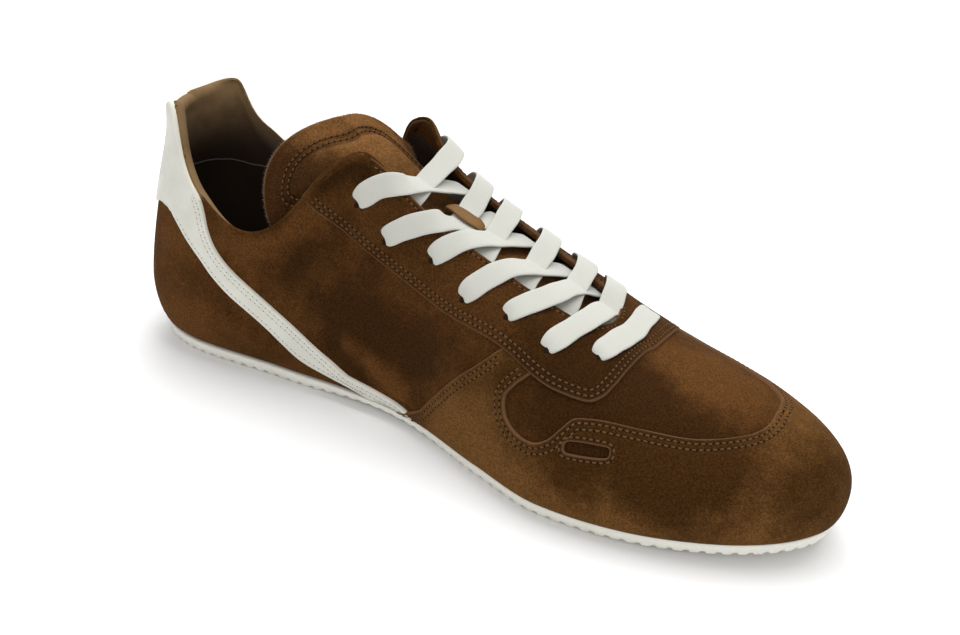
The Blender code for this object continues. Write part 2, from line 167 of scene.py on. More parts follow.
STRAP_FRONT = columns("at up", [
    (27.6, 1.0), (31.6, 0.920), (34.8, 0.835), (38.6, 0.740), (43.4, 0.665), (49.2, 0.604),
    (58.8, 0.526), (68.0, 0.464), (78.0, 0.408), (88.4, 0.358), (97.6, 0.324), (107.6, 0.294),
    (116.0, 0.258), (123.0, 0.226), (129.2, 0.190), (133.4, 0.130), (135.6, 0.0),
])
STRAP_BACK = columns("at up", [
    (20.4, 0.602), (24.8, 0.600), (30.8, 0.578), (39.2, 0.536), (46.8, 0.474), (55.2, 0.413),
    (62.4, 0.378), (70.4, 0.346), (76.0, 0.324), (81.0, 0.307), (85.6, 0.284), (92.4, 0.227),
    (99.6, 0.165), (107.2, 0.105), (113.0, 0.050), (116.0, 0.0),
])
TAB_FOOT = columns("at up", [
    (0.0, 0.490), (4.0, 0.494), (10.0, 0.512), (15.5, 0.562), (18.6, 0.593), (20.4, 0.600),
])
SLOT_AT, SLOT_UP, SLOT_LONG, SLOT_HIGH, SLOT_ROUND, SLOT_SLANT = 211.1, 0.502, 15.0, 3.9, 1.3, 0.30

# Patches of lighter or darker suede, partly nap that lies another way and partly painted light and shade:
# side, place, radius and strength
NAP_AND_PAINTED_LIGHT_PATCHES = columns("side at up wide shade", [
    (INNER, 165.0, 0.40, 22.0, 0.22),
    (INNER, 163.0, 0.14, 14.0, 0.95),
    (INNER, 190.0, 0.20, 16.0, 0.60),
    (INNER, 207.0, 0.38, 9.0, -0.45),
    (INNER, 233.0, 0.44, 15.0, -0.80),
    (INNER, 253.0, 0.58, 12.0, -0.80),
    (INNER, 276.0, 0.51, 9.0, -0.60),
    (INNER, 225.0, 0.15, 14.0, 0.60),
    (INNER, 265.0, 0.25, 12.0, 0.30),
    (INNER, 285.0, 0.75, 12.0, -0.10),
    (INNER, 200.0, 0.60, 23.0, -0.85),
    (INNER, 230.0, 0.76, 26.0, -0.80),
    (INNER, 244.0, 0.98, 16.0, 0.80),
    (INNER, 262.0, 0.97, 15.0, 0.55),
    (INNER, 205.0, 0.72, 11.0, -0.45),
    (INNER, 97.0, 0.42, 13.0, -0.35),
    (INNER, 75.0, 0.69, 12.0, -0.10),
    (INNER, 120.0, 0.42, 14.0, -0.30),
    (INNER, 149.0, 0.47, 13.0, -0.40),
    (INNER, 122.0, 0.30, 9.0, 0.30),
    (INNER, 53.0, 0.72, 10.0, 0.25),
    (INNER, 25.0, 0.52, 12.0, 0.50),
    (INNER, 32.0, 0.17, 14.0, 0.65),
    (INNER, 97.0, 0.85, 9.0, -0.10),
    (INNER, 150.0, 0.70, 16.0, 0.45),
    (OUTER, 200.0, 0.30, 22.0, 0.35),
    (OUTER, 240.0, 0.45, 16.0, -0.35),
    (OUTER, 120.0, 0.42, 18.0, -0.35),
    (OUTER, 60.0, 0.45, 16.0, 0.25),
    (OUTER, 235.0, 0.92, 16.0, 0.35),
])

# Soft folds and swellings of the worn upper: two ends on the last, half width and height
FOLDS = columns("side at up end_at end_up wide high", [
    (INNER, 104.8, 0.372, 132.4, 0.309, 2.4, 1.3),
    (INNER, 99.0, 0.352, 123.0, 0.302, 2.6, -0.8),
    (INNER, 104.0, 0.465, 138.0, 0.450, 8.0, -0.8),
    (INNER, 80.0, 0.592, 99.6, 0.617, 4.5, -0.9),
    (INNER, 60.0, 0.800, 74.0, 0.760, 8.0, 0.9),
    (OUTER, 92.0, 0.520, 118.0, 0.420, 7.0, -0.8),
    (OUTER, 62.0, 0.800, 76.0, 0.760, 8.0, 0.8),
    (INNER, 85.0, 0.965, 105.0, 0.965, 3.2, 0.9),
    (INNER, 93.0, 0.850, 104.0, 0.840, 5.0, -1.3),
    (INNER, -8.0, 0.900, 5.0, 0.900, 9.0, 2.6),
    (OUTER, -8.0, 0.900, 5.0, 0.900, 9.0, 2.6),
])
# Girth used to measure the folds, and the painted light on fold ridges and painted shade in fold troughs
# per millimetre of fold height
WALL_GIRTH, FOLD_PAINTED_LIGHT = 75.0, 0.65
RIM_MOVE_SPAN = (0.75, 1.0)

# Places where the worn collar's rim has moved: side, place, half width and the move in millimetres
RIM_MOVES = columns("side at wide ahead across rise", [
    (OUTER, 109.5, 7.5, 1.2, 0.0, 6.0),
    (OUTER, 91.0, 5.5, 0.8, 0.0, -4.5),
    (OUTER, 14.5, 4.5, 0.0, -3.0, -2.2),
    (INNER, 3.0, 4.0, 0.0, 0.0, -2.0),
    (OUTER, 0.0, 2.5, 0.0, 0.0, -0.4),
])


def between(t, step, start, end, slope, end_slope):
    """Point of a smooth curve at a share t of the step from its start to its end."""
    return ((2 * t**3 - 3 * t**2 + 1) * start + (t**3 - 2 * t**2 + t) * step * slope
            + (3 * t**2 - 2 * t**3) * end + (t**3 - t**2) * step * end_slope)


def smooth(x, table, at, name):
    """A column read between its rows along a smooth curve that doesn't overshoot."""
    xs, ys = table[at], table[name]
    x = np.clip(x, xs[0], xs[-1])
    step = np.diff(xs)
    rise = np.diff(ys) / step
    before, after = rise[:-1], rise[1:]
    mean = (before * step[1:] + after * step[:-1]) / (step[:-1] + step[1:])
    most = 3 * np.minimum(np.abs(before), np.abs(after))
    steady = np.where(before * after > 0, np.sign(mean) * np.minimum(np.abs(mean), most), 0)
    slope = np.concatenate([rise[:1], steady, rise[-1:]])
    i = np.clip(np.searchsorted(xs, x) - 1, 0, len(xs) - 2)
    t = (x - xs[i]) / step[i]
    return between(t, step[i], ys[i], ys[i + 1], slope[i], slope[i + 1])


def of_side(side, inner, outer):
    return np.where(np.asarray(side) < 0, inner, outer)


def ramp(x, start, end):
    """0 before start and 1 after end, with a soft rise between."""
    t = np.clip((x - start) / (end - start), 0, 1)
    return t * t * (3 - 2 * t)


def eased(count):
    return (1 - np.cos(np.pi * np.linspace(0, 1, count))) / 2


def unit(v):
    return v / np.maximum(np.linalg.norm(v, axis=-1, keepdims=True), 1e-12)


def travelled(points):
    """Distance along a line of points."""
    return np.concatenate([[0], np.cumsum(np.linalg.norm(np.diff(points, axis=0), axis=1))])


def read_along(places, distances, values):
    """Values known at distances along a line, read at other places on it."""
    return np.stack([np.interp(places, distances, column) for column in values.T], -1)


# Shape of the last
def rounded(distance, reach):
    """Share of the full width at a distance from a rounded end."""
    r = np.clip(distance / reach, 0, 1)
    return np.clip(1 - (1 - r) ** ROUND_POWER, 0, 1) ** (1 / ROUND_POWER)


def centre(x):
    return -SWING * np.clip((x - SWING_FROM) / (LENGTH - SWING_FROM), 0, None) ** SWING_POWER


def spring(x):
    return SPRING * np.clip((x - SPRING_FROM) / (LENGTH - SPRING_FROM), 0, 1) ** SPRING_POWER


def widest(share, side):
    """Plan of the widest line of the last."""
    x = share * LENGTH
    half = of_side(side, smooth(share, PLAN, "along", "inner"), smooth(share, PLAN, "along", "outer"))
    half = half * rounded(x, HEEL_ROUND) * rounded(LENGTH - x, TOE_ROUND)
    return np.stack(np.broadcast_arrays(x, centre(x) + side * half), -1)


def inward(share, side):
    """Direction in plan from the widest line towards the middle of the shoe."""
    run = widest(np.clip(share + 1e-4, 0, 1), side) - widest(np.clip(share - 1e-4, 0, 1), side)
    across = np.stack([run[..., 1], -run[..., 0]], -1) * np.asarray(side)[..., None]
    return unit(across)


def feather(share, side, out=0.0):
    """Plan of the edge where the upper meets the sole, moved outwards by a distance."""
    tuck = smooth(share, TUCK, "along", "tuck") - out
    return widest(share, side) + inward(share, side) * np.asarray(tuck)[..., None]


def top_x(share):
    return TAB_BACK + (RIDGE_END - TAB_BACK) * share


def top_gap(share):
    """Half the distance between the two sides' top lines."""
    return smooth(top_x(share), TOP_LINE, "x", "gap")


def shell(share, up, side):
    """Outside of the last: share runs from heel to toe, up from the feather edge to the top line."""
    share, up, side = np.broadcast_arrays(*(np.asarray(v, float) for v in (share, up, side)))
    wide = widest(share, side)
    foot = FEATHER_HEIGHT + spring(wide[..., 0])
    belly = foot + smooth(share, TUCK, "along", "bulge")
    x = top_x(share)
    gap = top_gap(share) * rounded(x - TAB_BACK, TAB_ROUND)
    top = np.stack([x, centre(x) + side * gap], -1)
    dome = of_side(side, smooth(x, TOP_LINE, "x", "inner_dome"), smooth(x, TOP_LINE, "x", "outer_dome"))
    bow = smooth(x, TOP_LINE, "x", "bow")
    r = np.clip(up / BULGE_SHARE, 0, 1)
    curl = CURL_ROUND * (1 - np.sqrt(1 - (1 - r) ** 2)) + (1 - CURL_ROUND) * (1 - r) ** 2
    low = wide + (feather(share, side) - wide) * curl[..., None]
    q = np.sin(np.clip((up - BULGE_SHARE) / (1 - BULGE_SHARE), 0, 1) * np.pi / 2)
    arch = np.clip(1 - q**DOME_POWER, 0, 1) ** (1 / DOME_POWER)
    lean = 1 - ((1 - dome) * (1 - q**bow) + dome * arch)
    high = wide + (top - wide) * lean[..., None]
    below = up <= BULGE_SHARE
    plan = np.where(below[..., None], low, high)
    toe = ramp(x, TOE_BOX_FROM, TOE_BOX_FULL)
    crown = smooth(x + (plan[..., 0] - x) * toe, TOP_LINE, "x", "height")
    z = np.where(below, foot + (belly - foot) * r, belly + (crown - belly) * q)
    return np.concatenate([plan, z[..., None]], -1)


# The collar's outward direction is read this share below its rim, less so where the throat begins
RIM_READ, RIM_READ_SPAN = 0.03, (100.0, 112.0)


def shell_out(share, up, side):
    """Outward direction of the last's outside."""
    share, up, side = np.broadcast_arrays(*(np.asarray(v, float) for v in (share, up, side)))
    step, rise_step = 4e-4, 2e-3
    up = np.minimum(up, 1 - RIM_READ * (1 - ramp(share * LENGTH, *RIM_READ_SPAN)))
    along = shell(np.clip(share + step, 0, 1), up, side) - shell(np.clip(share - step, 0, 1), up, side)
    higher, lower = (shell(share, np.clip(up + s, 0, 1), side) for s in (rise_step, -rise_step))
    return unit(np.cross(along, higher - lower) * -side[..., None])


def throat_edges():
    """Share of the wall's height where the throat cuts each side, by share of the length."""
    shares = np.linspace(0, 1, 721)
    end = (THROAT_END - TAB_BACK) / (RIDGE_END - TAB_BACK)
    shares = np.sort(np.concatenate([shares, end - 0.02 * np.linspace(0, 1, 60) ** 2]))
    up = np.linspace(BULGE_SHARE, 1, 701)
    edges = {}
    for side in (INNER, OUTER):
        x, y, _ = np.moveaxis(shell(shares[:, None], up[None], side), -1, 0)
        opening = smooth(x, TOP_LINE, "x", "throat") * rounded(THROAT_END - x, THROAT_ROUND)
        first = up[np.argmax(np.abs(y - centre(x)) <= opening, axis=1)]
        cut = (top_x(shares) > THROAT_TOP) & (top_x(shares) < THROAT_END)
        edges[side] = np.where(cut, first, 1.0)
    return shares, edges


EDGE_SHARES, EDGE_UPS = throat_edges()


def edge_up(at, side):
    share = np.asarray(at, float) / LENGTH
    return of_side(side, *(np.interp(share, EDGE_SHARES, EDGE_UPS[s]) for s in (INNER, OUTER)))


def folds(at, up, side):
    """Height of the soft folds at a place on the last."""
    total = np.zeros(np.shape(at))
    for s, a, u, end_a, end_u, wide, high in zip(*FOLDS.values()):
        run = np.array([end_a - a, (end_u - u) * WALL_GIRTH])
        px, py = at - a, (up - u) * WALL_GIRTH
        t = np.clip((px * run[0] + py * run[1]) / (run @ run), 0, 1)
        away = (px - t * run[0]) ** 2 + (py - t * run[1]) ** 2
        total = total + np.where(side == s, high * np.exp(-away / wide**2), 0)
    return total


def skin(at, up, side, lift=0.0):
    """Place on the upper and its outward direction, a lift outside the last."""
    at, up, side = np.broadcast_arrays(*(np.asarray(v, float) for v in (at, up, side)))
    out = shell_out(at / LENGTH, up, side)
    away = np.asarray(lift + folds(at, up, side))
    point = shell(at / LENGTH, up, side) + out * away[..., None]
    for s, place, wide, *move in zip(*RIM_MOVES.values()):
        share = np.where(side == s, np.exp(-(((at - place) / wide) ** 2)), 0) * ramp(up, *RIM_MOVE_SPAN)
        point = point + share[..., None] * np.array(move)
    return point, out


# Charts that lay the upper flat for cutting: round the shoe, and over the instep
FINE = eased(1601)
ROUND = {side: travelled(widest(FINE, side)) for side in (INNER, OUTER)}
CHART_HEIGHT, LOW_WALL = 100.0, 0.35


def chart_rise(up):
    """Height on a chart of a share of the wall's height, shorter below the bulge."""
    return CHART_HEIGHT * (LOW_WALL * np.minimum(up, BULGE_SHARE) + np.maximum(up - BULGE_SHARE, 0))


def wall_share(v):
    """Share of the wall's height at a height on a chart."""
    bulge = CHART_HEIGHT * LOW_WALL * BULGE_SHARE
    up = np.where(v < bulge, v / (CHART_HEIGHT * LOW_WALL), BULGE_SHARE + (v - bulge) / CHART_HEIGHT)
    return np.clip(up, 0, 1)


def around(u, v):
    """Chart round heel and toe: the outer side first, the inner side below 0 or beyond the toe."""
    toe, inner_full = ROUND[OUTER][-1], ROUND[INNER][-1]
    inner = (u < 0) | (u > toe)
    along_inner = np.where(u < 0, -u, toe + inner_full - u)
    share = np.where(inner, np.interp(along_inner, ROUND[INNER], FINE), np.interp(u, ROUND[OUTER], FINE))
    return share * LENGTH, wall_share(v), np.where(inner, INNER, OUTER)


def chart_around(at, up, side, over_toe=False):
    along = np.interp(np.asarray(at) / LENGTH, FINE, ROUND[side])
    if side == INNER:
        along = ROUND[OUTER][-1] + ROUND[INNER][-1] - along if over_toe else -along
    return np.stack([along, chart_rise(np.asarray(up, float))], -1)


def over(u, v):
    """Chart over the instep: 0 is the crown, and the inner side is below 0."""
    up = 1 - (np.abs(v) - top_gap(u / LENGTH)) / CHART_HEIGHT
    return u, np.clip(up, 0, 1), np.where(v < 0, INNER, OUTER)


def chart_over(at, up, side):
    at = np.asarray(at, float)
    return np.stack([at, side * ((1 - np.asarray(up)) * CHART_HEIGHT + top_gap(at / LENGTH))], -1)


def traced(points, step=1.0):
    """A smooth line through a few points of a chart, about a step apart."""
    points = np.asarray(points, float)
    t = travelled(points)
    tangent = np.gradient(points, t, axis=0)
    at = np.linspace(0, t[-1], max(2, int(t[-1] / step) + 1))
    i = np.clip(np.searchsorted(t, at, "right") - 1, 0, len(t) - 2)
    h = (t[i + 1] - t[i])[:, None]
    s = ((at - t[i]) / h[:, 0])[:, None]
    return between(s, h, points[i], points[i + 1], tangent[i], tangent[i + 1])


# Meshes
def placed(points):
    """Points in metres about the shoe's own middle."""
    return (np.asarray(points, float) - (MIDDLE_X, MIDDLE_Y, 0)) * MM


def nap_shade(points):
    """How much lighter or darker the suede is at points in millimetres, from its nap and from painted light
    and shade.
    """
    total = np.zeros(len(points))
    for side, at, up, wide, shade in zip(*NAP_AND_PAINTED_LIGHT_PATCHES.values()):
        spot = skin(at, up, side)[0]
        total += shade * np.exp(-((points - spot) ** 2).sum(1) / wide**2)
    return total


def shown(name, data):
    """A new object in the scene."""
    obj = bpy.data.objects.new(name, data)
    bpy.context.scene.collection.objects.link(obj)
    return obj


def mesh_piece(name, points, faces, mat, values=None, flat_map=None):
    """A smooth mesh from points in millimetres, with named values on its points."""
    # Suede pieces also carry nap patches with painted light and shade on their points
    if mat.name.startswith("suede"):
        values = {"nap": 0.0, **(values or {})}
        values["nap"] = values["nap"] + nap_shade(np.asarray(points))
    used = np.unique(np.concatenate([np.asarray(f) for f in faces]))
    number = np.zeros(len(points), int)
    number[used] = np.arange(len(used))
    values = {key: np.asarray(data)[used] for key, data in (values or {}).items()}
    mesh = bpy.data.meshes.new(name)
    spots = placed(np.asarray(points)[used]).tolist()
    mesh.from_pydata(spots, [], [number[list(f)].tolist() for f in faces])
    mesh.validate()
    for key, data in values.items():
        layer = mesh.attributes.new(key, "FLOAT", "POINT")
        layer.data.foreach_set("value", np.asarray(data, np.float32))
    if flat_map is not None:
        layer = mesh.uv_layers.new(name="weave")
        loops = np.empty(len(mesh.loops), np.int32)
        mesh.loops.foreach_get("vertex_index", loops)
        layer.data.foreach_set("uv", np.asarray(flat_map, np.float32)[used][loops].ravel())
    mesh.shade_smooth()
    mesh.materials.append(mat)
    obj = shown(name, mesh)
    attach(obj, "root")
    return obj


def grid_faces(index):
    """Quads between neighbours of a two-way table of point numbers, without collapsed ones."""
    faces = []
    for a, b in zip(index[:-1], index[1:]):
        for i in range(len(a) - 1):
            ring = [a[i], a[i + 1], b[i + 1], b[i]]
            ring = [p for k, p in enumerate(ring) if p != ring[k - 1]]
            if len(ring) > 2:
                faces.append(ring)
    return faces


def loft(rings, closed=False, caps=False):
    """Points and faces through rings of equal count."""
    rings = np.asarray(rings, float)
    index = np.arange(rings.shape[0] * rings.shape[1]).reshape(rings.shape[:2])
    looped = np.concatenate([index, index[:, :1]], axis=1) if closed else index
    faces = grid_faces(looped)
    if caps:
        faces += [list(index[0][::-1]), list(index[-1])]
    return rings.reshape(-1, 3), faces


def joined(parts):
    """Several (points, faces) as one."""
    points, faces, start = [], [], 0
    for part_points, part_faces in parts:
        points.append(part_points)
        faces += [[p + start for p in f] for f in part_faces]
        start += len(part_points)
    return np.concatenate(points), faces


def welded(points, faces):
    """The mesh with points that share a place made one."""
    _, first, number = np.unique(np.round(points, 3), axis=0, return_index=True, return_inverse=True)
    number = number.ravel()
    return points[first], [[number[p] for p in f] for f in faces]


def inside(points, loop):
    """Which points of a chart lie inside a closed line."""
    hit = np.zeros(len(points), bool)
    x, y = points.T
    for (ax, ay), (bx, by) in zip(loop, np.roll(loop, -1, axis=0)):
        if ay == by:
            continue
        crosses = (ay > y) != (by > y)
        hit ^= crosses & (x < (bx - ax) * (y - ay) / (by - ay) + ax)
    return hit


def gaps_to(points, others):
    """Distance of each point to the nearest of the others."""
    tree = kdtree.KDTree(len(others))
    for i, p in enumerate(others):
        tree.insert(p, i)
    tree.balance()
    return np.array([tree.find(p)[2] for p in points])


def ring_edges(start, count):
    """Pairs of neighbours round a closed line whose points are numbered from a start."""
    return [(start + i, start + (i + 1) % count) for i in range(count)]


def triangulated(flat, edges, within):
    """Points of a chart and the triangles between them that keep to the edges and lie within the cut."""
    found = geometry.delaunay_2d_cdt([tuple(p) for p in flat], edges, [], 0, 1e-6)
    flat = np.array([tuple(p) for p in found[0]])
    faces = np.array([f for f in found[2] if len(f) == 3])
    return flat, faces[within(flat[faces].mean(1))]


def laid(chart, line):
    """Points of the upper under a line of a chart."""
    return skin(*chart(*line.T))[0]


def bare(chart, line):
    """Points of the last under a line of a chart."""
    at, up, side = chart(*line.T)
    return shell(at / LENGTH, up, side)


def inset(chart, line, distance, turn):
    """A chart line moved sideways over the surface by a distance, in short steps."""
    probe, count, longest = 0.05, 5, 3.0
    across = np.cross(skin(*chart(*line.T))[1], unit(np.gradient(bare(chart, line), axis=0))) * turn
    for _ in range(count):
        here = bare(chart, line)
        du, dv = np.zeros_like(here), np.zeros_like(here)
        for step in (probe, -probe):
            for slope, shift in ((du, (step, 0)), (dv, (0, step))):
                found = (bare(chart, line + shift) - here) / step
                better = np.linalg.norm(found, axis=1) > np.linalg.norm(slope, axis=1)
                slope[better] = found[better]
        uu, uv, vv = (du * du).sum(1), (du * dv).sum(1), (dv * dv).sum(1)
        au, av = (across * du).sum(1), (across * dv).sum(1)
        det = np.maximum(uu * vv - uv * uv, 1e-9)
        move = np.stack([(au * vv - av * uv) / det, (av * uu - au * uv) / det], -1) * distance / count
        reach = np.linalg.norm(move, axis=1)[:, None]
        line = line + move * np.minimum(1, longest / np.maximum(reach, 1e-9))
    return line


INSET_SLACK = 0.25


def true_inset(chart, line, distance, turn):
    """The part of an inset line that did end up at its distance."""
    row = inset(chart, line, distance, turn)
    gap = gaps_to(bare(chart, row), bare(chart, line))
    return row[np.abs(gap - distance) < INSET_SLACK * distance]


EDGE_RINGS = (0.12, 0.4, 0.9, 1.6, 2.4, 3.2, 4.0, 4.9, 5.8)
PANEL_SPACING, PANEL_SINK, EDGE_ROLL = 1.7, 0.5, 0.7
ROW_DEEP, ROW_WIDE, UNDER_DEEP = 0.34, 0.75, 1.3
SQUARE_EDGE, ROLLED_EDGE, SINK_REACH, BACK_DEEPER = 0.55, 0.45, 0.1, 0.2
RING_KEPT, BODY_CLEAR, EDGE_CLEAR, CROWN_WELD = 0.85, 0.4, 0.7, 0.3


def panel(name, chart, loops, mat, thick, rows, under=None):
    """A cut layer on the upper. Loops are lists of (line, kind): a cut edge shows, a hidden one doesn't."""
    outlines, cut_lines = [], []
    for loop in loops:
        outlines.append(np.concatenate([line[:-1] for line, _ in loop]))
        cut_lines += [line for line, kind in loop if kind == "cut"]
    cut_points = np.concatenate([laid(chart, line) for line in cut_lines])
    all_edge = np.concatenate([laid(chart, line) for line in outlines])

    def within(points):
        found = inside(points, outlines[0])
        for hole in outlines[1:]:
            found &= ~inside(points, hole)
        return found

    extra = []
    for line in cut_lines:
        for distance in EDGE_RINGS:
            for turn in (-1, 1):
                ring = true_inset(chart, line, distance, turn)
                ring = ring[within(ring)]
                if len(ring):
                    gap = gaps_to(laid(chart, ring), all_edge)
                    extra.append(ring[gap > RING_KEPT * distance])
    low, high = outlines[0].min(0), outlines[0].max(0)
    u, v = np.meshgrid(*(np.arange(a, b, PANEL_SPACING) for a, b in zip(low, high)))
    u = u + (np.arange(len(u)) % 2)[:, None] * PANEL_SPACING / 2
    body = np.stack([u.ravel(), v.ravel()], -1)
    body = body[within(body)]
    where = laid(chart, body)
    clear = gaps_to(where, cut_points) > EDGE_RINGS[-1] + BODY_CLEAR
    body = body[clear & (gaps_to(where, all_edge) > EDGE_CLEAR)]
    edges, start = [], 0
    for outline in outlines:
        edges += ring_edges(start, len(outline))
        start += len(outline)
    flat, faces = triangulated(np.concatenate(outlines + extra + [body]), edges, within)
    at, up, side = chart(*flat.T)
    base, out = skin(at, up, side)
    crown = np.flatnonzero((up > 0.9999) & (at > THROAT_END))
    near, far = crown[side[crown] < 0], crown[side[crown] > 0]
    for i in near:
        gap = np.linalg.norm(base[far] - base[i], axis=1)
        if len(far) and gap.min() < CROWN_WELD:
            j = far[gap.argmin()]
            base[i] = (base[i] + base[j]) / 2
            out[i] = unit(out[i] + out[j])
            faces[faces == j] = i
    edge = gaps_to(base, cut_points)
    roll = np.sqrt(1 - (1 - np.clip(edge / EDGE_ROLL, 0, 1)) ** 2)
    full = SQUARE_EDGE * np.clip(edge / EDGE_RINGS[0], 0, 1) + ROLLED_EDGE * roll
    height = BASE_LIFT - PANEL_SINK * (1 - np.clip(edge / SINK_REACH, 0, 1)) + thick * full
    if under:
        height -= UNDER_DEEP * under(at, up, side)
    for row in rows:
        height -= ROW_DEEP * np.exp(-(((edge - row) / ROW_WIDE) ** 2))
    points = base + out * height[:, None]
    normal = np.cross(points[faces[:, 1]] - points[faces[:, 0]], points[faces[:, 2]] - points[faces[:, 0]])
    flip = (normal * out[faces[:, 0]]).sum(1) < 0
    faces[flip] = faces[flip][:, ::-1]
    pairs = np.concatenate([faces[:, [0, 1]], faces[:, [1, 2]], faces[:, [2, 0]]])
    back_way = {(b, a) for a, b in pairs.tolist()}
    border = [(a, b) for a, b in pairs.tolist() if (a, b) not in back_way]
    n = len(points)
    back = base + out * (BASE_LIFT - PANEL_SINK - BACK_DEEPER)
    walls = [[b, a, a + n, b + n] for a, b in border]
    all_faces = faces.tolist() + (faces[:, ::-1] + n).tolist() + walls
    # Painted light on fold ridges and painted shade in fold troughs
    values = {"edge": np.tile(edge, 2), "nap": np.tile(FOLD_PAINTED_LIGHT * folds(at, up, side), 2)}
    return mesh_piece(name, np.concatenate([points, back]), all_faces, mat, values)


def stitch_line(chart, line, distance, turn, lift):
    """Points and outward directions of a stitch row inside a cut edge."""
    return skin(*chart(*true_inset(chart, line, distance, turn).T), lift)


STITCH_LONG, STITCH_PITCH, STITCH_ROUND = 1.55, 2.2, 0.34
STRAP_STITCH_LONG, STRAP_STITCH_ROUND = 1.4, 0.14
SUEDE_NEEDLE, FINE_NEEDLE = 0.8, 0.55
SEAM_ROWS, SLOT_ROW, STRAP_ROWS = (1.8, 3.8), 1.5, (1.8, 3.6)
STITCH_SUNK, STRAP_STITCH_SUNK, STITCH_RUN = 0.28, 0.05, 0.4
DIMPLE_SIDES, DIMPLE_RINGS = 10, ((1.0, -0.5), (1.0, 0.08), (0.55, 0.16))


def row_places(rows, start=STITCH_PITCH):
    """Places a stitch apart along rows, each with its run and its outward direction."""
    places = []
    for points, outs in rows:
        t = travelled(points)
        for middle in np.arange(start, t[-1], STITCH_PITCH):
            p, n = read_along(middle, t, points), read_along(middle, t, outs)
            a, b = (read_along(middle + reach, t, points) for reach in (-STITCH_RUN, STITCH_RUN))
            run = unit(b - a)
            places.append((p, run, unit(n - run * (n @ run))))
    return places


def stitches(name, rows, mat, long=STITCH_LONG, round_by=STITCH_ROUND):
    """Separate short threads along rows, each arched a little out of the leather."""
    rings, sides = np.array([-1, -0.82, -0.35, 0.35, 0.82, 1]), 6
    angle = np.arange(sides) * 2 * np.pi / sides
    girth = np.array([0.15, 0.72, 1, 1, 0.72, 0.15]) * round_by
    sink = np.array([0.9, 0.3, 0, 0, 0.3, 0.9]) * round_by
    parts = []
    for p, run, n in row_places(rows, STITCH_PITCH / 2):
        across = np.cross(n, run)
        tube = []
        for r, g, s in zip(rings, girth, sink):
            spot = p + run * (r * long / 2) - n * s
            tube.append([spot + across * (g * math.cos(k)) + n * (g * math.sin(k)) for k in angle])
        parts.append(loft(tube, closed=True, caps=True))
    return mesh_piece(name, *joined(parts), mat)


def hole_shadow_discs(name, places, mat, across):
    """Painted shadows of punched holes, each a shallow closed disc at a place with a run and an outward
    direction.
    """
    angle = np.arange(DIMPLE_SIDES) * 2 * np.pi / DIMPLE_SIDES
    parts = []
    for p, run, n in places:
        side = np.cross(n, run)
        turn = run[None] * np.cos(angle)[:, None] + side[None] * np.sin(angle)[:, None]
        rings = [p + turn * (across / 2 * size) + n * high for size, high in DIMPLE_RINGS]
        parts.append(loft(rings, closed=True, caps=True))
    return mesh_piece(name, *joined(parts), mat)


# Materials
def set_inputs(tree, node, inputs):
    """Give a node's inputs their values, or links where a value is a socket."""
    for key, value in inputs.items():
        if isinstance(value, bpy.types.NodeSocket):
            tree.links.new(value, node.inputs[key])
        else:
            node.inputs[key].default_value = value


def add(tree, kind, inputs=None, **settings):
    """A new node with its settings, input values and links."""
    new = tree.nodes.new(kind)
    for key, value in settings.items():
        setattr(new, key, value)
    set_inputs(tree, new, inputs or {})
    return new


def point_value(tree, name):
    """A named value of the mesh's points."""
    return add(tree, "ShaderNodeAttribute", attribute_name=name).outputs["Fac"]


def noise(tree, where, scale, detail=3.0, rough=0.55):
    inputs = {"Vector": where, "Scale": scale, "Detail": detail, "Roughness": rough}
    return add(tree, "ShaderNodeTexNoise", inputs).outputs["Fac"]


def span(tree, value, low, high, to_low=0.0, to_high=1.0):
    made = add(tree, "ShaderNodeMapRange", {
        "Value": value, "From Min": low, "From Max": high, "To Min": to_low, "To Max": to_high,
    }, interpolation_type="SMOOTHSTEP")
    return made.outputs["Result"]


def sums(tree, kind, a, b):
    return add(tree, "ShaderNodeMath", {0: a, 1: b}, operation=kind).outputs[0]


def mixed(tree, share, a, b, kind="MIX"):
    """Mix of two colours by a share."""
    inputs = {0: share, 6: a, 7: b}
    return add(tree, "ShaderNodeMix", inputs, data_type="RGBA", blend_type=kind).outputs[2]


def weighed(tree, *terms):
    """Sum of values, each with its weight."""
    total, *others = (sums(tree, "MULTIPLY", value, weight) for value, weight in terms)
    for other in others:
        total = sums(tree, "ADD", total, other)
    return total


def group(name, ins, outs):
    """A node group with named sockets, its input and its output nodes."""
    tree = bpy.data.node_groups.new(name, "ShaderNodeTree")
    kinds = {"c": "NodeSocketColor", "f": "NodeSocketFloat", "v": "NodeSocketVector"}
    for key, kind in ins.items():
        tree.interface.new_socket(key, in_out="INPUT", socket_type=kinds[kind])
    for key, kind in outs.items():
        tree.interface.new_socket(key, in_out="OUTPUT", socket_type=kinds[kind])
    return tree, tree.nodes.new("NodeGroupInput").outputs, tree.nodes.new("NodeGroupOutput").inputs


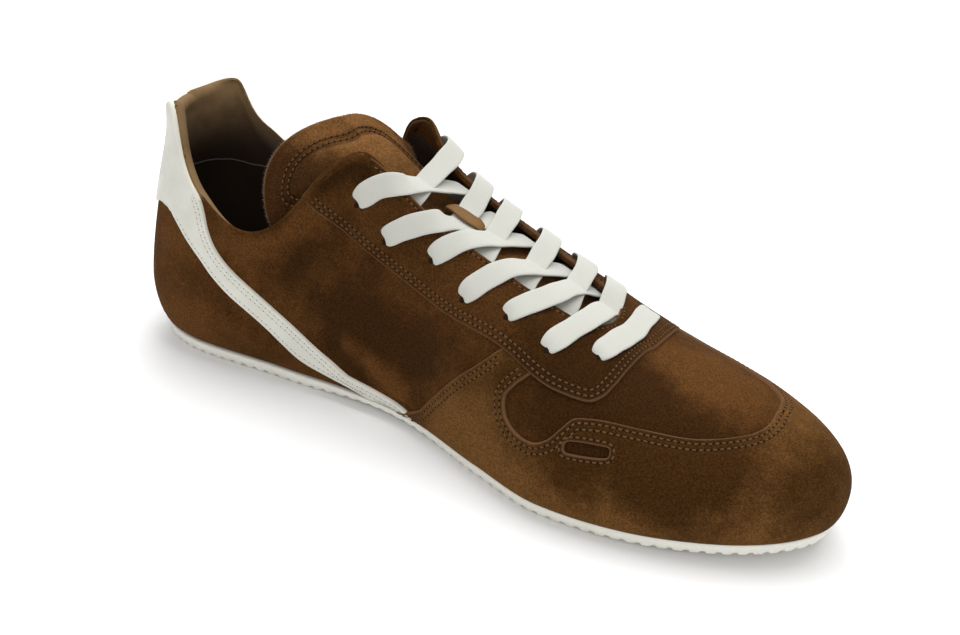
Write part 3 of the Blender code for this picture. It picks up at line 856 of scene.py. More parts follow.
def suede_nap():
    """Brushed nap: random patches where it lies another way, painted light and shade from the mesh, fine
    fibres, and a paler cut edge.
    """
    tree, ins, outs = group(
        "Suede nap",
        {"Where": "v", "Dark": "c", "Light": "c", "Pale": "c", "Edge": "f", "Nap and painted light": "f"},
        {"Color": "c", "Height": "f", "Roughness": "f"},
    )
    patch = noise(tree, ins["Where"], 38.0, 4.0, 0.6)
    brushed = noise(tree, ins["Where"], 170.0, 6.0, 0.72)
    fibres = noise(tree, ins["Where"], 1500.0, 5.0, 0.85)
    # The mesh's value adds its nap patches and its painted light and shade to the random nap
    shade = span(tree, weighed(tree, (patch, 0.6), (brushed, 0.4), (ins["Nap and painted light"], 0.3)), 0.28, 0.72)
    colour = mixed(tree, shade, ins["Dark"], ins["Light"])
    flecks = span(tree, fibres, 0.32, 0.70, 0.40, 1.75)
    grey = add(tree, "ShaderNodeCombineColor", {0: flecks, 1: flecks, 2: flecks}).outputs[0]
    colour = mixed(tree, 0.9, colour, grey, "MULTIPLY")
    worn = span(tree, ins["Edge"], 0.2, 0.8, 0.75, 0.0)
    tree.links.new(mixed(tree, worn, colour, ins["Pale"]), outs["Color"])
    tree.links.new(weighed(tree, (fibres, 0.7), (brushed, 0.9)), outs["Height"])
    tree.links.new(span(tree, fibres, 0.2, 0.8, 0.82, 1.0), outs["Roughness"])
    return tree


def leather_grain():
    """Small pebbled cells with fine pores."""
    tree, ins, outs = group("Leather grain", {"Where": "v", "Cells": "f"}, {"Height": "f", "Mottle": "f"})
    cells = add(tree, "ShaderNodeTexVoronoi", {"Vector": ins["Where"], "Scale": ins["Cells"]},
                feature="DISTANCE_TO_EDGE")
    pebble = span(tree, cells.outputs["Distance"], 0.0, 0.25)
    fine = noise(tree, ins["Where"], 1900.0, 3.0)
    tree.links.new(weighed(tree, (pebble, 0.7), (fine, 0.6)), outs["Height"])
    tree.links.new(span(tree, noise(tree, ins["Where"], 90.0, 4.0), 0.3, 0.7), outs["Mottle"])
    return tree


def flat_weave():
    """Plaited cotton: two sets of slanting threads on a map in millimetres."""
    tree, ins, outs = group("Flat weave", {"Map": "v", "Pitch": "f"}, {"Height": "f", "Gaps": "f"})
    split = add(tree, "ShaderNodeSeparateXYZ", {"Vector": ins["Map"]}).outputs
    turn = sums(tree, "DIVIDE", math.tau, ins["Pitch"])
    waves = []
    for slant in (0.75, -0.75):
        along = sums(tree, "ADD", split[0], sums(tree, "MULTIPLY", split[1], slant))
        waves.append(sums(tree, "SINE", sums(tree, "MULTIPLY", along, turn), 0.0))
    ribs = sums(tree, "SINE", sums(tree, "MULTIPLY", split[1], sums(tree, "MULTIPLY", turn, 0.9)), 0.0)
    both = sums(tree, "ADD", sums(tree, "MAXIMUM", *waves), sums(tree, "MULTIPLY", ribs, 0.35))
    tree.links.new(both, outs["Height"])
    tree.links.new(span(tree, both, -0.6, 0.7), outs["Gaps"])
    return tree


def thread_twist():
    """Fine twist of sewing thread, with painted shade between its strands."""
    tree, ins, outs = group("Thread twist", {"Where": "v", "Dark": "c", "Light": "c"},
                            {"Color": "c", "Height": "f"})
    twist = noise(tree, ins["Where"], 2600.0, 2.0)
    tree.links.new(mixed(tree, span(tree, twist, 0.3, 0.7), ins["Dark"], ins["Light"]), outs["Color"])
    tree.links.new(twist, outs["Height"])
    return tree


SUEDE_NAP, LEATHER_GRAIN = suede_nap(), leather_grain()
FLAT_WEAVE, THREAD_TWIST = flat_weave(), thread_twist()


def new_material(name):
    mat = bpy.data.materials.new(name)
    mat.use_nodes = True
    tree = mat.node_tree
    where = add(tree, "ShaderNodeTexCoord").outputs["Object"]
    return mat, tree, tree.nodes["Principled BSDF"], where


def set_bump(tree, shader, height, distance_mm, strength=1.0):
    inputs = {"Height": height, "Distance": distance_mm * MM, "Strength": strength}
    tree.links.new(add(tree, "ShaderNodeBump", inputs).outputs["Normal"], shader.inputs["Normal"])


NO_EDGE = 9.0


def suede_material(name, dark, light, pale, cut_edge=True):
    mat, tree, shader, where = new_material(name)
    # The mesh's value brings painted light and shade, along with the nap patches, into the suede's colour
    nap = add(tree, "ShaderNodeGroup", {
        "Where": where, "Dark": (*dark, 1), "Light": (*light, 1), "Pale": (*pale, 1),
        "Nap and painted light": point_value(tree, "nap"), "Edge": point_value(tree, "edge") if cut_edge else NO_EDGE,
    }, node_tree=SUEDE_NAP)
    set_inputs(tree, shader, {
        "Base Color": nap.outputs["Color"], "Roughness": nap.outputs["Roughness"],
        "Specular IOR Level": 0.02, "Sheen Weight": 0.07, "Sheen Roughness": 0.5,
        "Sheen Tint": (0.6, 0.34, 0.16, 1),
    })
    set_bump(tree, shader, nap.outputs["Height"], 0.35, 0.8)
    return mat


def leather_material(name, dark, light, cells, roughness, grain_mm, gloss,
                     edge_colour=None, painted_shade_colour=None):
    mat, tree, shader, where = new_material(name)
    grain = add(tree, "ShaderNodeGroup", {"Where": where, "Cells": cells}, node_tree=LEATHER_GRAIN)
    mottle = grain.outputs["Mottle"]
    colour = mixed(tree, mottle, (*dark, 1), (*light, 1))
    if edge_colour:
        worn = span(tree, point_value(tree, "edge"), 0.1, 0.6, 0.8, 0.0)
        colour = mixed(tree, worn, colour, (*edge_colour, 1))
    # Painted shade towards a dark colour, where the mesh's value says
    if painted_shade_colour:
        colour = mixed(tree, point_value(tree, "painted_shade"), colour, (*painted_shade_colour, 1))
    set_inputs(tree, shader, {
        "Base Color": colour, "Specular IOR Level": gloss,
        "Roughness": span(tree, mottle, 0.0, 1.0, roughness + 0.06, roughness - 0.06),
    })
    set_bump(tree, shader, grain.outputs["Height"], grain_mm, 0.6)
    return mat


def thread_material(name, colour):
    mat, tree, shader, where = new_material(name)
    dark = (c * 0.6 for c in colour)
    twist = add(tree, "ShaderNodeGroup", {"Where": where, "Dark": (*dark, 1), "Light": (*colour, 1)},
                node_tree=THREAD_TWIST)
    set_inputs(tree, shader, {
        "Base Color": twist.outputs["Color"], "Roughness": 0.9, "Specular IOR Level": 0.1,
    })
    set_bump(tree, shader, twist.outputs["Height"], 0.12)
    return mat


def cotton_material(name, shadow, bright):
    mat, tree, shader, where = new_material(name)
    flat = add(tree, "ShaderNodeUVMap", uv_map="weave").outputs["UV"]
    weave = add(tree, "ShaderNodeGroup", {"Map": flat, "Pitch": 0.6}, node_tree=FLAT_WEAVE)
    gaps = weave.outputs["Gaps"]
    soil = span(tree, noise(tree, where, 120.0, 4.0), 0.25, 0.75, 0.0, 0.35)
    colour = mixed(tree, gaps, (*shadow, 1), (*bright, 1))
    colour = mixed(tree, soil, colour, (*(c * 0.86 for c in bright), 1))
    set_inputs(tree, shader, {
        "Base Color": colour, "Roughness": span(tree, gaps, 0.0, 1.0, 0.98, 0.85), "Sheen Weight": 0.15,
    })
    set_bump(tree, shader, weave.outputs["Height"], 0.04, 0.5)
    return mat


def rubber_material(name, clean, soiled):
    mat, tree, shader, where = new_material(name)
    high = add(tree, "ShaderNodeSeparateXYZ", {"Vector": where}).outputs[2]
    low = span(tree, high, 0.0, 0.004, 0.55, 0.05)
    blotch = span(tree, noise(tree, where, 260.0, 5.0, 0.65), 0.35, 0.75)
    set_inputs(tree, shader, {
        "Base Color": mixed(tree, sums(tree, "MULTIPLY", low, blotch), (*clean, 1), (*soiled, 1)),
        "Roughness": span(tree, blotch, 0.0, 1.0, 0.55, 0.75),
    })
    set_bump(tree, shader, noise(tree, where, 2400.0, 2.0), 0.08, 0.5)
    return mat


# Pieces
def stations(spacing, extra=()):
    """Shares of the length, evenly spaced along the widest line."""
    count = int(ROUND[INNER][-1] / spacing)
    shares = np.interp(np.linspace(0, ROUND[INNER][-1], count), ROUND[INNER], FINE)
    extra = np.asarray(extra, float)
    if len(extra):
        shares = np.array([s for s in shares if np.abs(extra - s).min() > 0.0012 or s in (0.0, 1.0)])
    return np.sort(np.concatenate([shares, extra]))


def throat_end_steps():
    steps = THROAT_END - THROAT_ROUND * np.linspace(0, 1, 14) ** 2
    return (steps - TAB_BACK) / (RIDGE_END - TAB_BACK)


def rim_frame(at, side):
    """Rim of the collar or throat, its outward direction and its direction up across the rim."""
    top = edge_up(at, side)
    rim, out = skin(at, top, side)
    rise = np.cross(unit(np.gradient(rim, axis=0)), out)
    up = rim - skin(at, top - 0.3, side)[0]
    return rim, out, unit(rise * np.sign((rise * up).sum(-1, keepdims=True)))


# Sections of the collar in millimetres outwards and upwards from its rim
SUEDE_ROLL = ((-0.7, 0.45), (-1.25, 0.65), (-1.8, 0.35))
LIP = (
    (-0.5, -0.8), (-0.45, 0.1), (-0.75, 0.5), (-1.4, 0.8),
    (-2.4, 0.9), (-3.5, 0.65), (-4.4, 0.0), (-5.0, -1.1),
)
LIP_FAR = (
    (-0.5, -0.8), (-0.45, 0.1), (-0.7, 0.45), (-1.2, 0.6),
    (-1.9, 0.45), (-2.7, -0.3), (-3.5, -1.0), (-4.2, -2.0),
)
STAY_ROLL = (
    (0.75, -0.7), (0.74, 0.0), (0.5, 0.65), (0.05, 1.05), (-0.45, 1.0), (-0.8, 0.45),
    (-1.15, 0.8), (-1.7, 0.95), (-2.3, 0.5), (-2.7, -0.6), (-2.8, -2.4),
)
STAY_ROLL_EDGE = (9.0, 9.0, 9.0, 2.0, 2.0, 2.0, 0.55, 0.5, 0.55, 2.0, 9.0)
INNER_WALL = -2.0
UPPER_SPACING, LOW_ROWS, HIGH_ROWS = 1.7, 13, 46
UPPER_TUCK, TUCK_LOWER, SUEDE_ROLL_SPAN = 4.0, 0.1, (94.0, 104.0)

# The same rows of the lip where it is sunk inside the throat: millimetres outwards and down from the rim
LIP_SUNK = (
    (-2.2, 2.6), (-2.2, 2.3), (-2.25, 2.1), (-2.3, 2.0),
    (-2.45, 1.9), (-2.65, 2.0), (-2.8, 2.3), (-2.9, 2.8),
)
WALL_DROP = 60.0


def make_upper(mat):
    """The lasted suede under the overlays: a closed wall, rolled in at the collar and tucked in below."""
    shares = stations(UPPER_SPACING, throat_end_steps())
    at = shares * LENGTH
    low_wall = BULGE_SHARE * np.linspace(0, 1, LOW_ROWS)[:-1]
    wall = np.concatenate([low_wall, BULGE_SHARE + (1 - BULGE_SHARE) * np.linspace(0, 1, HIGH_ROWS)])
    back = wall[::-4]
    back = np.append(back, 0.0) if back[-1] > 0 else back
    crown = top_x(shares) >= THROAT_END
    points, naps = {}, []
    for side in (INNER, OUTER):
        top = edge_up(at, side)[:, None]

        def lines(rows, lift):
            high = BULGE_SHARE + (rows - BULGE_SHARE) * (top - BULGE_SHARE) / (1 - BULGE_SHARE)
            up = np.where(rows <= BULGE_SHARE, rows, high)
            place = np.broadcast_to(at[:, None], up.shape)
            return skin(place, up, side, lift)[0], FOLD_PAINTED_LIGHT * folds(place, up, side)

        tucked = np.c_[feather(shares, side, -UPPER_TUCK), FEATHER_HEIGHT - TUCK_LOWER + spring(at)]
        rim, out, rise = rim_frame(at, side)
        rolled = (1 - ramp(at, *SUEDE_ROLL_SPAN))[:, None]
        rolls = [rim + out * shift + rise * (lift * rolled) for shift, lift in SUEDE_ROLL]
        face, fold_light = lines(wall, BASE_LIFT)
        within = lines(back, INNER_WALL)[0]
        points[side] = np.concatenate([tucked[:, None], face, np.stack(rolls, 1), within], 1)
        # Painted light on fold ridges and painted shade in fold troughs, on the outer face's rows
        nap = np.zeros(points[side].shape[:2])
        nap[:, 1:1 + len(wall)] = fold_light
        naps.append(nap.ravel())
    shape = points[INNER].shape[:2]
    rim_row = len(wall)
    back_row = rim_row + 1 + len(SUEDE_ROLL)
    shared = np.zeros(shape, bool)
    shared[[0, -1]] = True
    shared[crown, rim_row] = True
    shared[crown, back_row] = True
    middle = (points[INNER] + points[OUTER]) / 2
    index = {INNER: np.arange(shape[0] * shape[1]).reshape(shape)}
    index[OUTER] = np.where(shared, index[INNER], index[INNER] + shape[0] * shape[1])
    faces = []
    for side, order in ((INNER, -1), (OUTER, 1)):
        points[side] = np.where(shared[..., None], middle, points[side])
        number = index[side]
        number[crown, rim_row + 1:back_row] = number[crown, rim_row][:, None]
        looped = np.concatenate([number, number[:, :1]], 1)
        for part in (grid_faces(looped[:, :rim_row + 1]), grid_faces(looped[:, back_row:]),
                     grid_faces(looped[:crown.argmax() + 1, rim_row:back_row + 1])):
            faces += [f[::order] for f in part]
    both = np.concatenate([points[INNER].reshape(-1, 3), points[OUTER].reshape(-1, 3)])
    obj = mesh_piece("upper_suede", both, faces, mat, {"nap": np.concatenate(naps)})
    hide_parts("upper")
    return obj


def rolled_rim(at, side, section, strength):
    """A strip of suede rolled over the rim."""
    rim, out, rise = rim_frame(at, side)
    share = strength[:, None]
    rows = [rim + out * (BASE_LIFT + (shift - BASE_LIFT) * share) + rise * (lift * share)
            for shift, lift in section]
    points, faces = loft(np.stack(rows, 1), closed=True, caps=True)
    return points, faces if side == OUTER else [f[::-1] for f in faces]


STAY_FROM, STAY_TURN, STAY_BEND, STAY_END = 81.2, 101.6, 207.0, 209.7
ROLL_FROM, ROLL_END, ROLL_RISE, ROLL_FADE = 80.6, 113.0, 1.2, 9.0


def make_facing(mat):
    """Lace stay round the throat, from collar to collar."""
    bend = STAY_END - (STAY_END - STAY_BEND) * np.linspace(1, 0, 14) ** 2
    ends = np.concatenate([np.linspace(STAY_TURN, STAY_BEND, 120), bend])

    def outer_edge(side):
        return traced(chart_over(FACING_EDGE[side]["at"], FACING_EDGE[side]["up"], side))

    def throat_edge(side):
        return chart_over(ends, edge_up(ends, side), side)

    def rim(side):
        at = np.linspace(STAY_FROM, STAY_TURN, 22)
        return chart_over(at, np.ones_like(at), side)

    inner_outer, far_outer = outer_edge(INNER), outer_edge(OUTER)
    whole_front = np.concatenate([inner_outer[:-1], far_outer[::-1]])
    loop = [(whole_front, "cut"), (rim(OUTER), "hidden"), (throat_edge(OUTER), "cut"),
            (throat_edge(INNER)[::-1], "cut"), (rim(INNER)[::-1], "hidden")]
    obj = panel("lace_stay", over, [loop], mat, OVERLAY_THICK, SEAM_ROWS)
    lift = BASE_LIFT + OVERLAY_THICK - STITCH_SUNK
    rows = [stitch_line(over, whole_front[14:-14], d, 1, lift) for d in SEAM_ROWS]
    for side, turn in ((INNER, -1), (OUTER, 1)):
        rows.append(stitch_line(over, throat_edge(side)[8:-6], SEAM_ROWS[0], turn, lift))
    at = np.linspace(ROLL_FROM, ROLL_END, 60)
    strength = np.minimum((at - ROLL_FROM) / ROLL_RISE, (ROLL_END - at) / ROLL_FADE)
    strength = np.clip(strength, 0.01, 1) ** 0.7
    rolls = joined([rolled_rim(at, side, STAY_ROLL, strength) for side in (INNER, OUTER)])
    roll = mesh_piece("lace_stay_rim", *rolls, mat, {"edge": np.tile(STAY_ROLL_EDGE, 2 * len(at))})
    return obj, rows


def make_toe_overlay(mat):
    """Toe piece with its two wings and the stitched slot."""

    def line(table, side):
        return traced(chart_around(table["at"], table["up"], side, over_toe=True))

    def under_facing(side):
        return np.stack([line(WING_SEAM, side)[-1], line(TOE_SEAM, side)[0]])

    steps = np.linspace(TOE_SEAM["at"][-1], LENGTH, 12)
    crown = np.concatenate([chart_around(steps, np.ones(12), INNER, over_toe=True),
                            chart_around(steps[-2::-1], np.ones(11), OUTER)])
    foot = np.stack([line(WING_SEAM, OUTER)[0], line(WING_SEAM, INNER)[0]])
    count = int(abs(foot[1, 0] - foot[0, 0]) / 1.5)
    foot = foot[0] + (foot[1] - foot[0]) * np.linspace(0, 1, count)[:, None]
    loop = [(foot, "hidden"), (line(WING_SEAM, INNER), "cut"), (under_facing(INNER), "hidden"),
            (line(TOE_SEAM, INNER), "cut"), (crown, "hidden"), (line(TOE_SEAM, OUTER)[::-1], "cut"),
            (under_facing(OUTER)[::-1], "hidden"), (line(WING_SEAM, OUTER)[::-1], "cut")]
    holes = []
    for side in (INNER, OUTER):
        turn = np.linspace(0, 2 * np.pi, 65)
        along = np.sign(np.cos(turn)) * (SLOT_LONG / 2 - SLOT_ROUND) + np.cos(turn) * SLOT_ROUND
        high = np.sign(np.sin(turn)) * (SLOT_HIGH / 2 - SLOT_ROUND) + np.sin(turn) * SLOT_ROUND
        up = SLOT_UP + (high + SLOT_SLANT * along) / CHART_HEIGHT
        ring = chart_around(SLOT_AT + along, up, side, over_toe=True)
        holes.append([(traced(ring, 0.8), "cut")])

    def under(at, up, side):
        edges = (np.interp(at, FACING_EDGE[k]["at"], FACING_EDGE[k]["up"]) for k in (INNER, OUTER))
        return ramp(up - of_side(side, *edges), -0.006, 0.012)

    obj = panel("toe_overlay", around, [loop] + holes, mat, OVERLAY_THICK, SEAM_ROWS, under=under)
    lift = BASE_LIFT + OVERLAY_THICK - STITCH_SUNK
    rows = []
    for side, turn in ((INNER, -1), (OUTER, 1)):
        rows += [stitch_line(around, line(TOE_SEAM, side)[6:], d, turn, lift) for d in SEAM_ROWS]
        rows += [stitch_line(around, line(WING_SEAM, side)[3:-6], d, turn, lift) for d in SEAM_ROWS]
    for hole, turn in zip(holes, (-1, 1)):
        rows.append(stitch_line(around, hole[0][0], SLOT_ROW, turn, lift))
    return obj, rows


TAB_RIM = 40.0


def make_strap(mat):
    """White heel tab running down into a strap on each side."""

    def line(table, side):
        return traced(chart_around(table["at"], table["up"], side))

    def rim(side):
        full = np.interp(TAB_RIM / LENGTH, FINE, ROUND[side])
        at = np.interp(np.linspace(0, full, 40), ROUND[side], FINE) * LENGTH
        return chart_around(at, np.ones_like(at), side)

    def sole_end(side):
        ends = np.stack([line(STRAP_FRONT, side)[-1], line(STRAP_BACK, side)[-1]])
        return ends[0] + (ends[1] - ends[0]) * np.linspace(0, 1, 22)[:, None]

    loop = [(np.concatenate([rim(INNER)[::-1], rim(OUTER)[1:]]), "cut"), (line(STRAP_FRONT, OUTER), "cut"),
            (sole_end(OUTER), "hidden"), (line(STRAP_BACK, OUTER)[::-1], "cut"),
            (line(TAB_FOOT, OUTER)[::-1], "cut"), (line(TAB_FOOT, INNER), "cut"),
            (line(STRAP_BACK, INNER), "cut"), (sole_end(INNER)[::-1], "hidden"),
            (line(STRAP_FRONT, INNER)[::-1], "cut")]
    obj = panel("heel_strap", around, [loop], mat, STRAP_THICK, ())
    lift = BASE_LIFT + STRAP_THICK - STRAP_STITCH_SUNK
    rows = []
    for side, turn in ((INNER, -1), (OUTER, 1)):
        rows += [stitch_line(around, line(STRAP_FRONT, side)[:-4], d, turn, lift) for d in STRAP_ROWS]
        rows.append(stitch_line(around, line(STRAP_BACK, side)[2:-4], STRAP_ROWS[0], -turn, lift))
    return obj, rows


def along_rim(start, end, count):
    """Places along the rim, from one on the inner side round the heel to one on the outer side."""
    spans = [np.interp(a / LENGTH, FINE, ROUND[side]) for a, side in ((start, INNER), (end, OUTER))]
    at, _, side = around(np.linspace(-spans[0], spans[1], count), np.zeros(count))
    return at, side


COLLAR_PAD, LINING_BACK, LINING_END, LINING_FOOT = 2.9, -2.3, 212.0, 1.3
PAD_TOP_SPAN, PAD_FOOT_SPAN, PAD_END_SPAN = (-0.15, 0.1), (0.25, 0.65), (30.0, 62.0)

# Stretches along the rim where the lip sinks into the shoe, takes its far form, joins the wall, falls
# steeply and darkens with painted shade, and the heights between which the lining darkens with painted
# shade
LIP_SUNK_SPAN, FAR_LIP_SPAN, LIP_WALL_SPAN = (28.0, 68.0), (0.0, 8.0), (76.0, 88.0)
STEEP_SPAN, STEEP_END_SPAN, STEEP_OUTER = (60.0, 74.0), (112.0, 120.0), 0.4
DARK_SPAN, DARK_LIP_SPAN, DARK_HEIGHTS = (60.0, 80.0), (56.0, 74.0), (68.0, 103.0)


def lining_up(at, down, side):
    """Share of the wall's height: down runs from 0 at the rim to 1 at the bulge, and to 1.3 at the sole."""
    high = BULGE_SHARE + (1 - BULGE_SHARE) * np.arcsin(np.clip(1 - down, 0, 1)) * 2 / np.pi
    return np.where(down < 1, high, np.clip(LINING_FOOT - down, 0, BULGE_SHARE)) * edge_up(at, side)


def lining_wall(at, down, side):
    """Inside of the padded lining."""
    up = lining_up(at, down, side)
    padded = ramp(down, *PAD_TOP_SPAN) * (1 - ramp(down, *PAD_FOOT_SPAN))
    padded = padded * (1 - ramp(at, *PAD_END_SPAN))
    return skin(at, up, side, LINING_LIFT - COLLAR_PAD * padded)


def make_lining(mat):
    """Lining leather inside the shoe, turned over the back of the collar as a padded lip."""
    at, side = along_rim(LINING_END, LINING_END, 330)
    rim, out, rise = rim_frame(at, side)
    sunk = ramp(at, *LIP_SUNK_SPAN)[:, None]
    far = of_side(side, 0.0, ramp(at, *FAR_LIP_SPAN))[:, None]
    steep = ramp(at, *STEEP_SPAN) * (1 - ramp(at, *STEEP_END_SPAN)) * of_side(side, 1.0, STEEP_OUTER)
    rows = []
    for near_lip, far_lip, (shift, drop) in zip(LIP, LIP_FAR, LIP_SUNK):
        turned, turned_far = (rim + out * a + rise * b for a, b in (near_lip, far_lip))
        if far_lip[0] < INNER_WALL:
            turned_far = skin(at, lining_up(at, -far_lip[1] / WALL_DROP, side), side, far_lip[0])[0]
        turned = turned + (turned_far - turned) * far
        below = rim + out * shift - rise * drop
        wall = skin(at, lining_up(at, (drop + steep) / WALL_DROP, side), side, shift)[0]
        below = below + (wall - below) * ramp(at, *LIP_WALL_SPAN)[:, None]
        rows.append(turned + (below - turned) * sunk)
    start = 0.06 + 0.04 * steep
    downs = [start + (LINING_FOOT - start) * share for share in np.linspace(0, 1, 34)]
    rows += [lining_wall(at, down, side)[0] for down in downs]
    rows += [skin(at, lining_up(at, down, side), side, LINING_BACK)[0] for down in downs[:1:-3]]
    points, faces = loft(np.stack(rows, 1), closed=True, caps=True)
    # Painted shade inside the shoe: darker towards the front, lower down, and on the near lip past the heel
    darker = np.repeat(ramp(at, *DARK_SPAN), len(rows))
    painted_shade = np.maximum(1 - ramp(points[:, 2], *DARK_HEIGHTS), darker)
    near_lip = (np.arange(len(points)) % len(rows) < len(LIP)) & np.repeat(side == INNER, len(rows))
    painted_shade = np.where(near_lip, np.repeat(ramp(at, *DARK_LIP_SPAN), len(rows)), painted_shade)
    obj = mesh_piece("lining", points, faces, mat, {"painted_shade": painted_shade})
    return obj


LINING_SEAM_HEIGHT, LINING_SEAM_ROUND, LINING_SEAM_END = 63.0, 0.28, 66.0
SEAM_RISE, SEAM_RISE_WIDE, SEAM_FALL, SEAM_FALL_SPAN = 3.0, 14.0, 12.0, (28.0, 64.0)


def make_lining_seam(mat):
    """Pale seam round the inside of the heel."""
    at, side = along_rim(LINING_SEAM_END, LINING_SEAM_END, 120)
    downs = np.linspace(0.05, 0.98, 200)
    wall, out = lining_wall(at[:, None], downs[None], side[:, None])
    rows = np.arange(len(at))
    height = LINING_SEAM_HEIGHT + SEAM_RISE * np.exp(-((at / SEAM_RISE_WIDE) ** 2))
    height = height - SEAM_FALL * ramp(at, *SEAM_FALL_SPAN)
    best = np.abs(wall[..., 2] - height[:, None]).argmin(1)
    girth = np.full(len(at), 2 * LINING_SEAM_ROUND)
    points, faces, _ = ribbon(wall[rows, best], out[rows, best], girth, girth)
    return mesh_piece("lining_seam", points, faces, mat)


def sole_top(x):
    return FEATHER_HEIGHT - SOLE_FIT + spring(x)


def sole_under(x):
    return smooth(x, SOLE_UNDER, "x", "lift") + spring(x)


TOOTH_PITCH, TOOTH_DEEP, TOOTH_REACH = 5.3, 0.7, 15.0
NOTCH_FROM, NOTCH_END = (0.50, 0.60), (0.90, 1.0)
SOLE_GRID, SOLE_GRID_CLEAR, SOLE_REACH = 6.0, 2.5, (-70, 60)

# Section of the sole's edge from inside its top to its middle below: reach outwards, share of the height
# and share of a tooth
SOLE_SECTION = (
    (-7.0, 1.0, 0), (SOLE_LEDGE - 0.7, 1.0, 0), (SOLE_LEDGE - 0.15, 0.93, 0), (SOLE_LEDGE, 0.8, 0),
    (SOLE_LEDGE - 0.1, 0.5, 0), (SOLE_LEDGE - 0.35, 0.28, 0.0), (SOLE_LEDGE - 0.5, 0.16, 0.75),
    (SOLE_LEDGE - SOLE_TAPER, 0.05, 1), (SOLE_LEDGE - SOLE_TAPER - 0.4, 0.0, 1), (-3.0, 0.0, 1),
    (-8.0, 0.0, 1), (-TOOTH_REACH + 2, 0.0, 1), (-TOOTH_REACH, 0.0, 0),
)


def outline_loop(step, out):
    """Plan of the sole's edge all round, moved outwards, with the distance along it."""
    full = ROUND[OUTER][-1] + ROUND[INNER][-1]
    count = int(full / step)
    u = np.arange(count) * full / count
    at, _, side = around(u, np.zeros_like(u))
    return feather(at / LENGTH, side, out), u


def make_sole(mat):
    """Thin rubber sole with a toothed lower edge and a smooth middle."""
    full = ROUND[OUTER][-1] + ROUND[INNER][-1]
    pitch = full / round(full / TOOTH_PITCH)
    rim, u = outline_loop(pitch / 8, 0.0)
    run = unit(np.roll(rim, -1, axis=0) - np.roll(rim, 1, axis=0))
    out = np.stack([run[:, 1], -run[:, 0]], -1)
    if ((rim - rim.mean(0)) * out).sum() < 0:
        out = -out
    phase = (u / pitch) % 1
    notch = ramp(phase, *NOTCH_FROM) * (1 - ramp(phase, *NOTCH_END))
    rows = []
    for reach, high, tooth in SOLE_SECTION:
        plan = rim + out * reach
        top, under = sole_top(plan[:, 0]), sole_under(plan[:, 0])
        z = under + (top - under) * high + notch * tooth * TOOTH_DEEP
        rows.append(np.concatenate([plan, np.minimum(z, top)[:, None]], -1))
    parts = [loft(rows, closed=True)]
    for ring, height, flip in ((rows[0], sole_top, False), (rows[-1], sole_under, True)):
        loop = ring[:, :2]
        x, y = np.meshgrid(np.arange(0, LENGTH, SOLE_GRID), np.arange(*SOLE_REACH, SOLE_GRID))
        grid = np.stack([x.ravel(), y.ravel()], -1)
        grid = grid[inside(grid, loop)]
        gap = gaps_to(*(np.c_[spots, np.zeros(len(spots))] for spots in (grid, loop)))
        grid = grid[gap > SOLE_GRID_CLEAR]
        edges = ring_edges(0, len(loop))
        flat, tris = triangulated(np.concatenate([loop, grid]), edges, lambda spots: inside(spots, loop))
        parts.append((np.c_[flat, height(flat[:, 0])], tris[:, ::-1] if flip else tris))
    obj = mesh_piece("rubber_sole", *welded(*joined(parts)), mat)
    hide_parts("outsole")
    return obj


SOCK_THICK, SOCK_DISH, SOCK_HOLLOW, SOCK_INSIDE = 2.6, 1.4, 0.6, 2.8


def make_sock(mat):
    """Sock over the insole board, dished under the foot."""
    across = np.linspace(-1, 1, 25)
    rings = []
    for share in 0.004 + 0.992 * eased(90):
        s = np.array(share)
        inner, outer = (feather(s, side, -SOCK_INSIDE) for side in (INNER, OUTER))
        plan = inner + (outer - inner) * ((across + 1) / 2)[:, None]
        base = sole_top(plan[:, 0]) + SOLE_FIT
        z = base + SOCK_THICK + SOCK_DISH * across**4 - SOCK_HOLLOW * (1 - across**2)
        rings.append(np.concatenate([np.c_[plan, z], np.c_[plan[::-1], base[::-1]]]))
    obj = mesh_piece("sock", *loft(rings, closed=True, caps=True), mat)
    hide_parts("insole")
    return obj


TONGUE_THICK, TONGUE_PAD, TONGUE_HEM = 2.4, 1.6, 9.5
TONGUE_ROWS = (TONGUE_HEM - 2.2, TONGUE_HEM)
LOBE_FROM, LOBE_BACK, LOBE_DROP = 0.72, 14.5, 5.0
PAD_BEGINS, HEM_BEGINS, PAD_BELOW = (0.25, 0.5), (0.25, 0.4), 0.4
HEM_DEEP, HEM_WIDE, RAW_EDGE_DROP, RAW_EDGE_WIDE = 0.3, 0.8, 0.9, 1.2
BEND_AT, BEND_BOW, BEND_WIDE, BEND_DEEP, BEND_EDGE_SPAN = 0.865, 0.03, 0.022, 1.0, (2.0, 8.0)
LIT_NAP, LIT_ALONG, LIT_LONG, LIT_ACROSS, LIT_WIDE = 1.5, 0.9, 0.12, 0.15, 0.4
SHADED_NAP, SHADED_SPAN = 1.1, (0.1, 0.75)


def tongue_point(along, across):
    """Face of the tongue: along from its sewn to its free end, across from -1 inner to +1 outer edge."""
    at = {"row": np.linspace(0, 1, len(TONGUE["x"])), **TONGUE}

    def read(name):
        return smooth(along, at, "row", name)

    inner = across < 0
    reach = np.abs(across)
    x = read("x") + np.where(inner, -read("inner_back"), read("outer_ahead")) * reach**2
    y = read("y") + np.where(inner, -read("inner_half"), read("outer_half")) * np.sin(reach * np.pi / 2)
    z = read("z") - np.where(inner, read("inner_fall"), read("outer_fall")) * reach**2.2
    lobe = np.where(inner, np.sin(np.pi * reach) ** 0.7, 0) * ramp(along, LOBE_FROM, 1)
    return np.stack([x - LOBE_BACK * lobe, y, z - LOBE_DROP * lobe], -1)


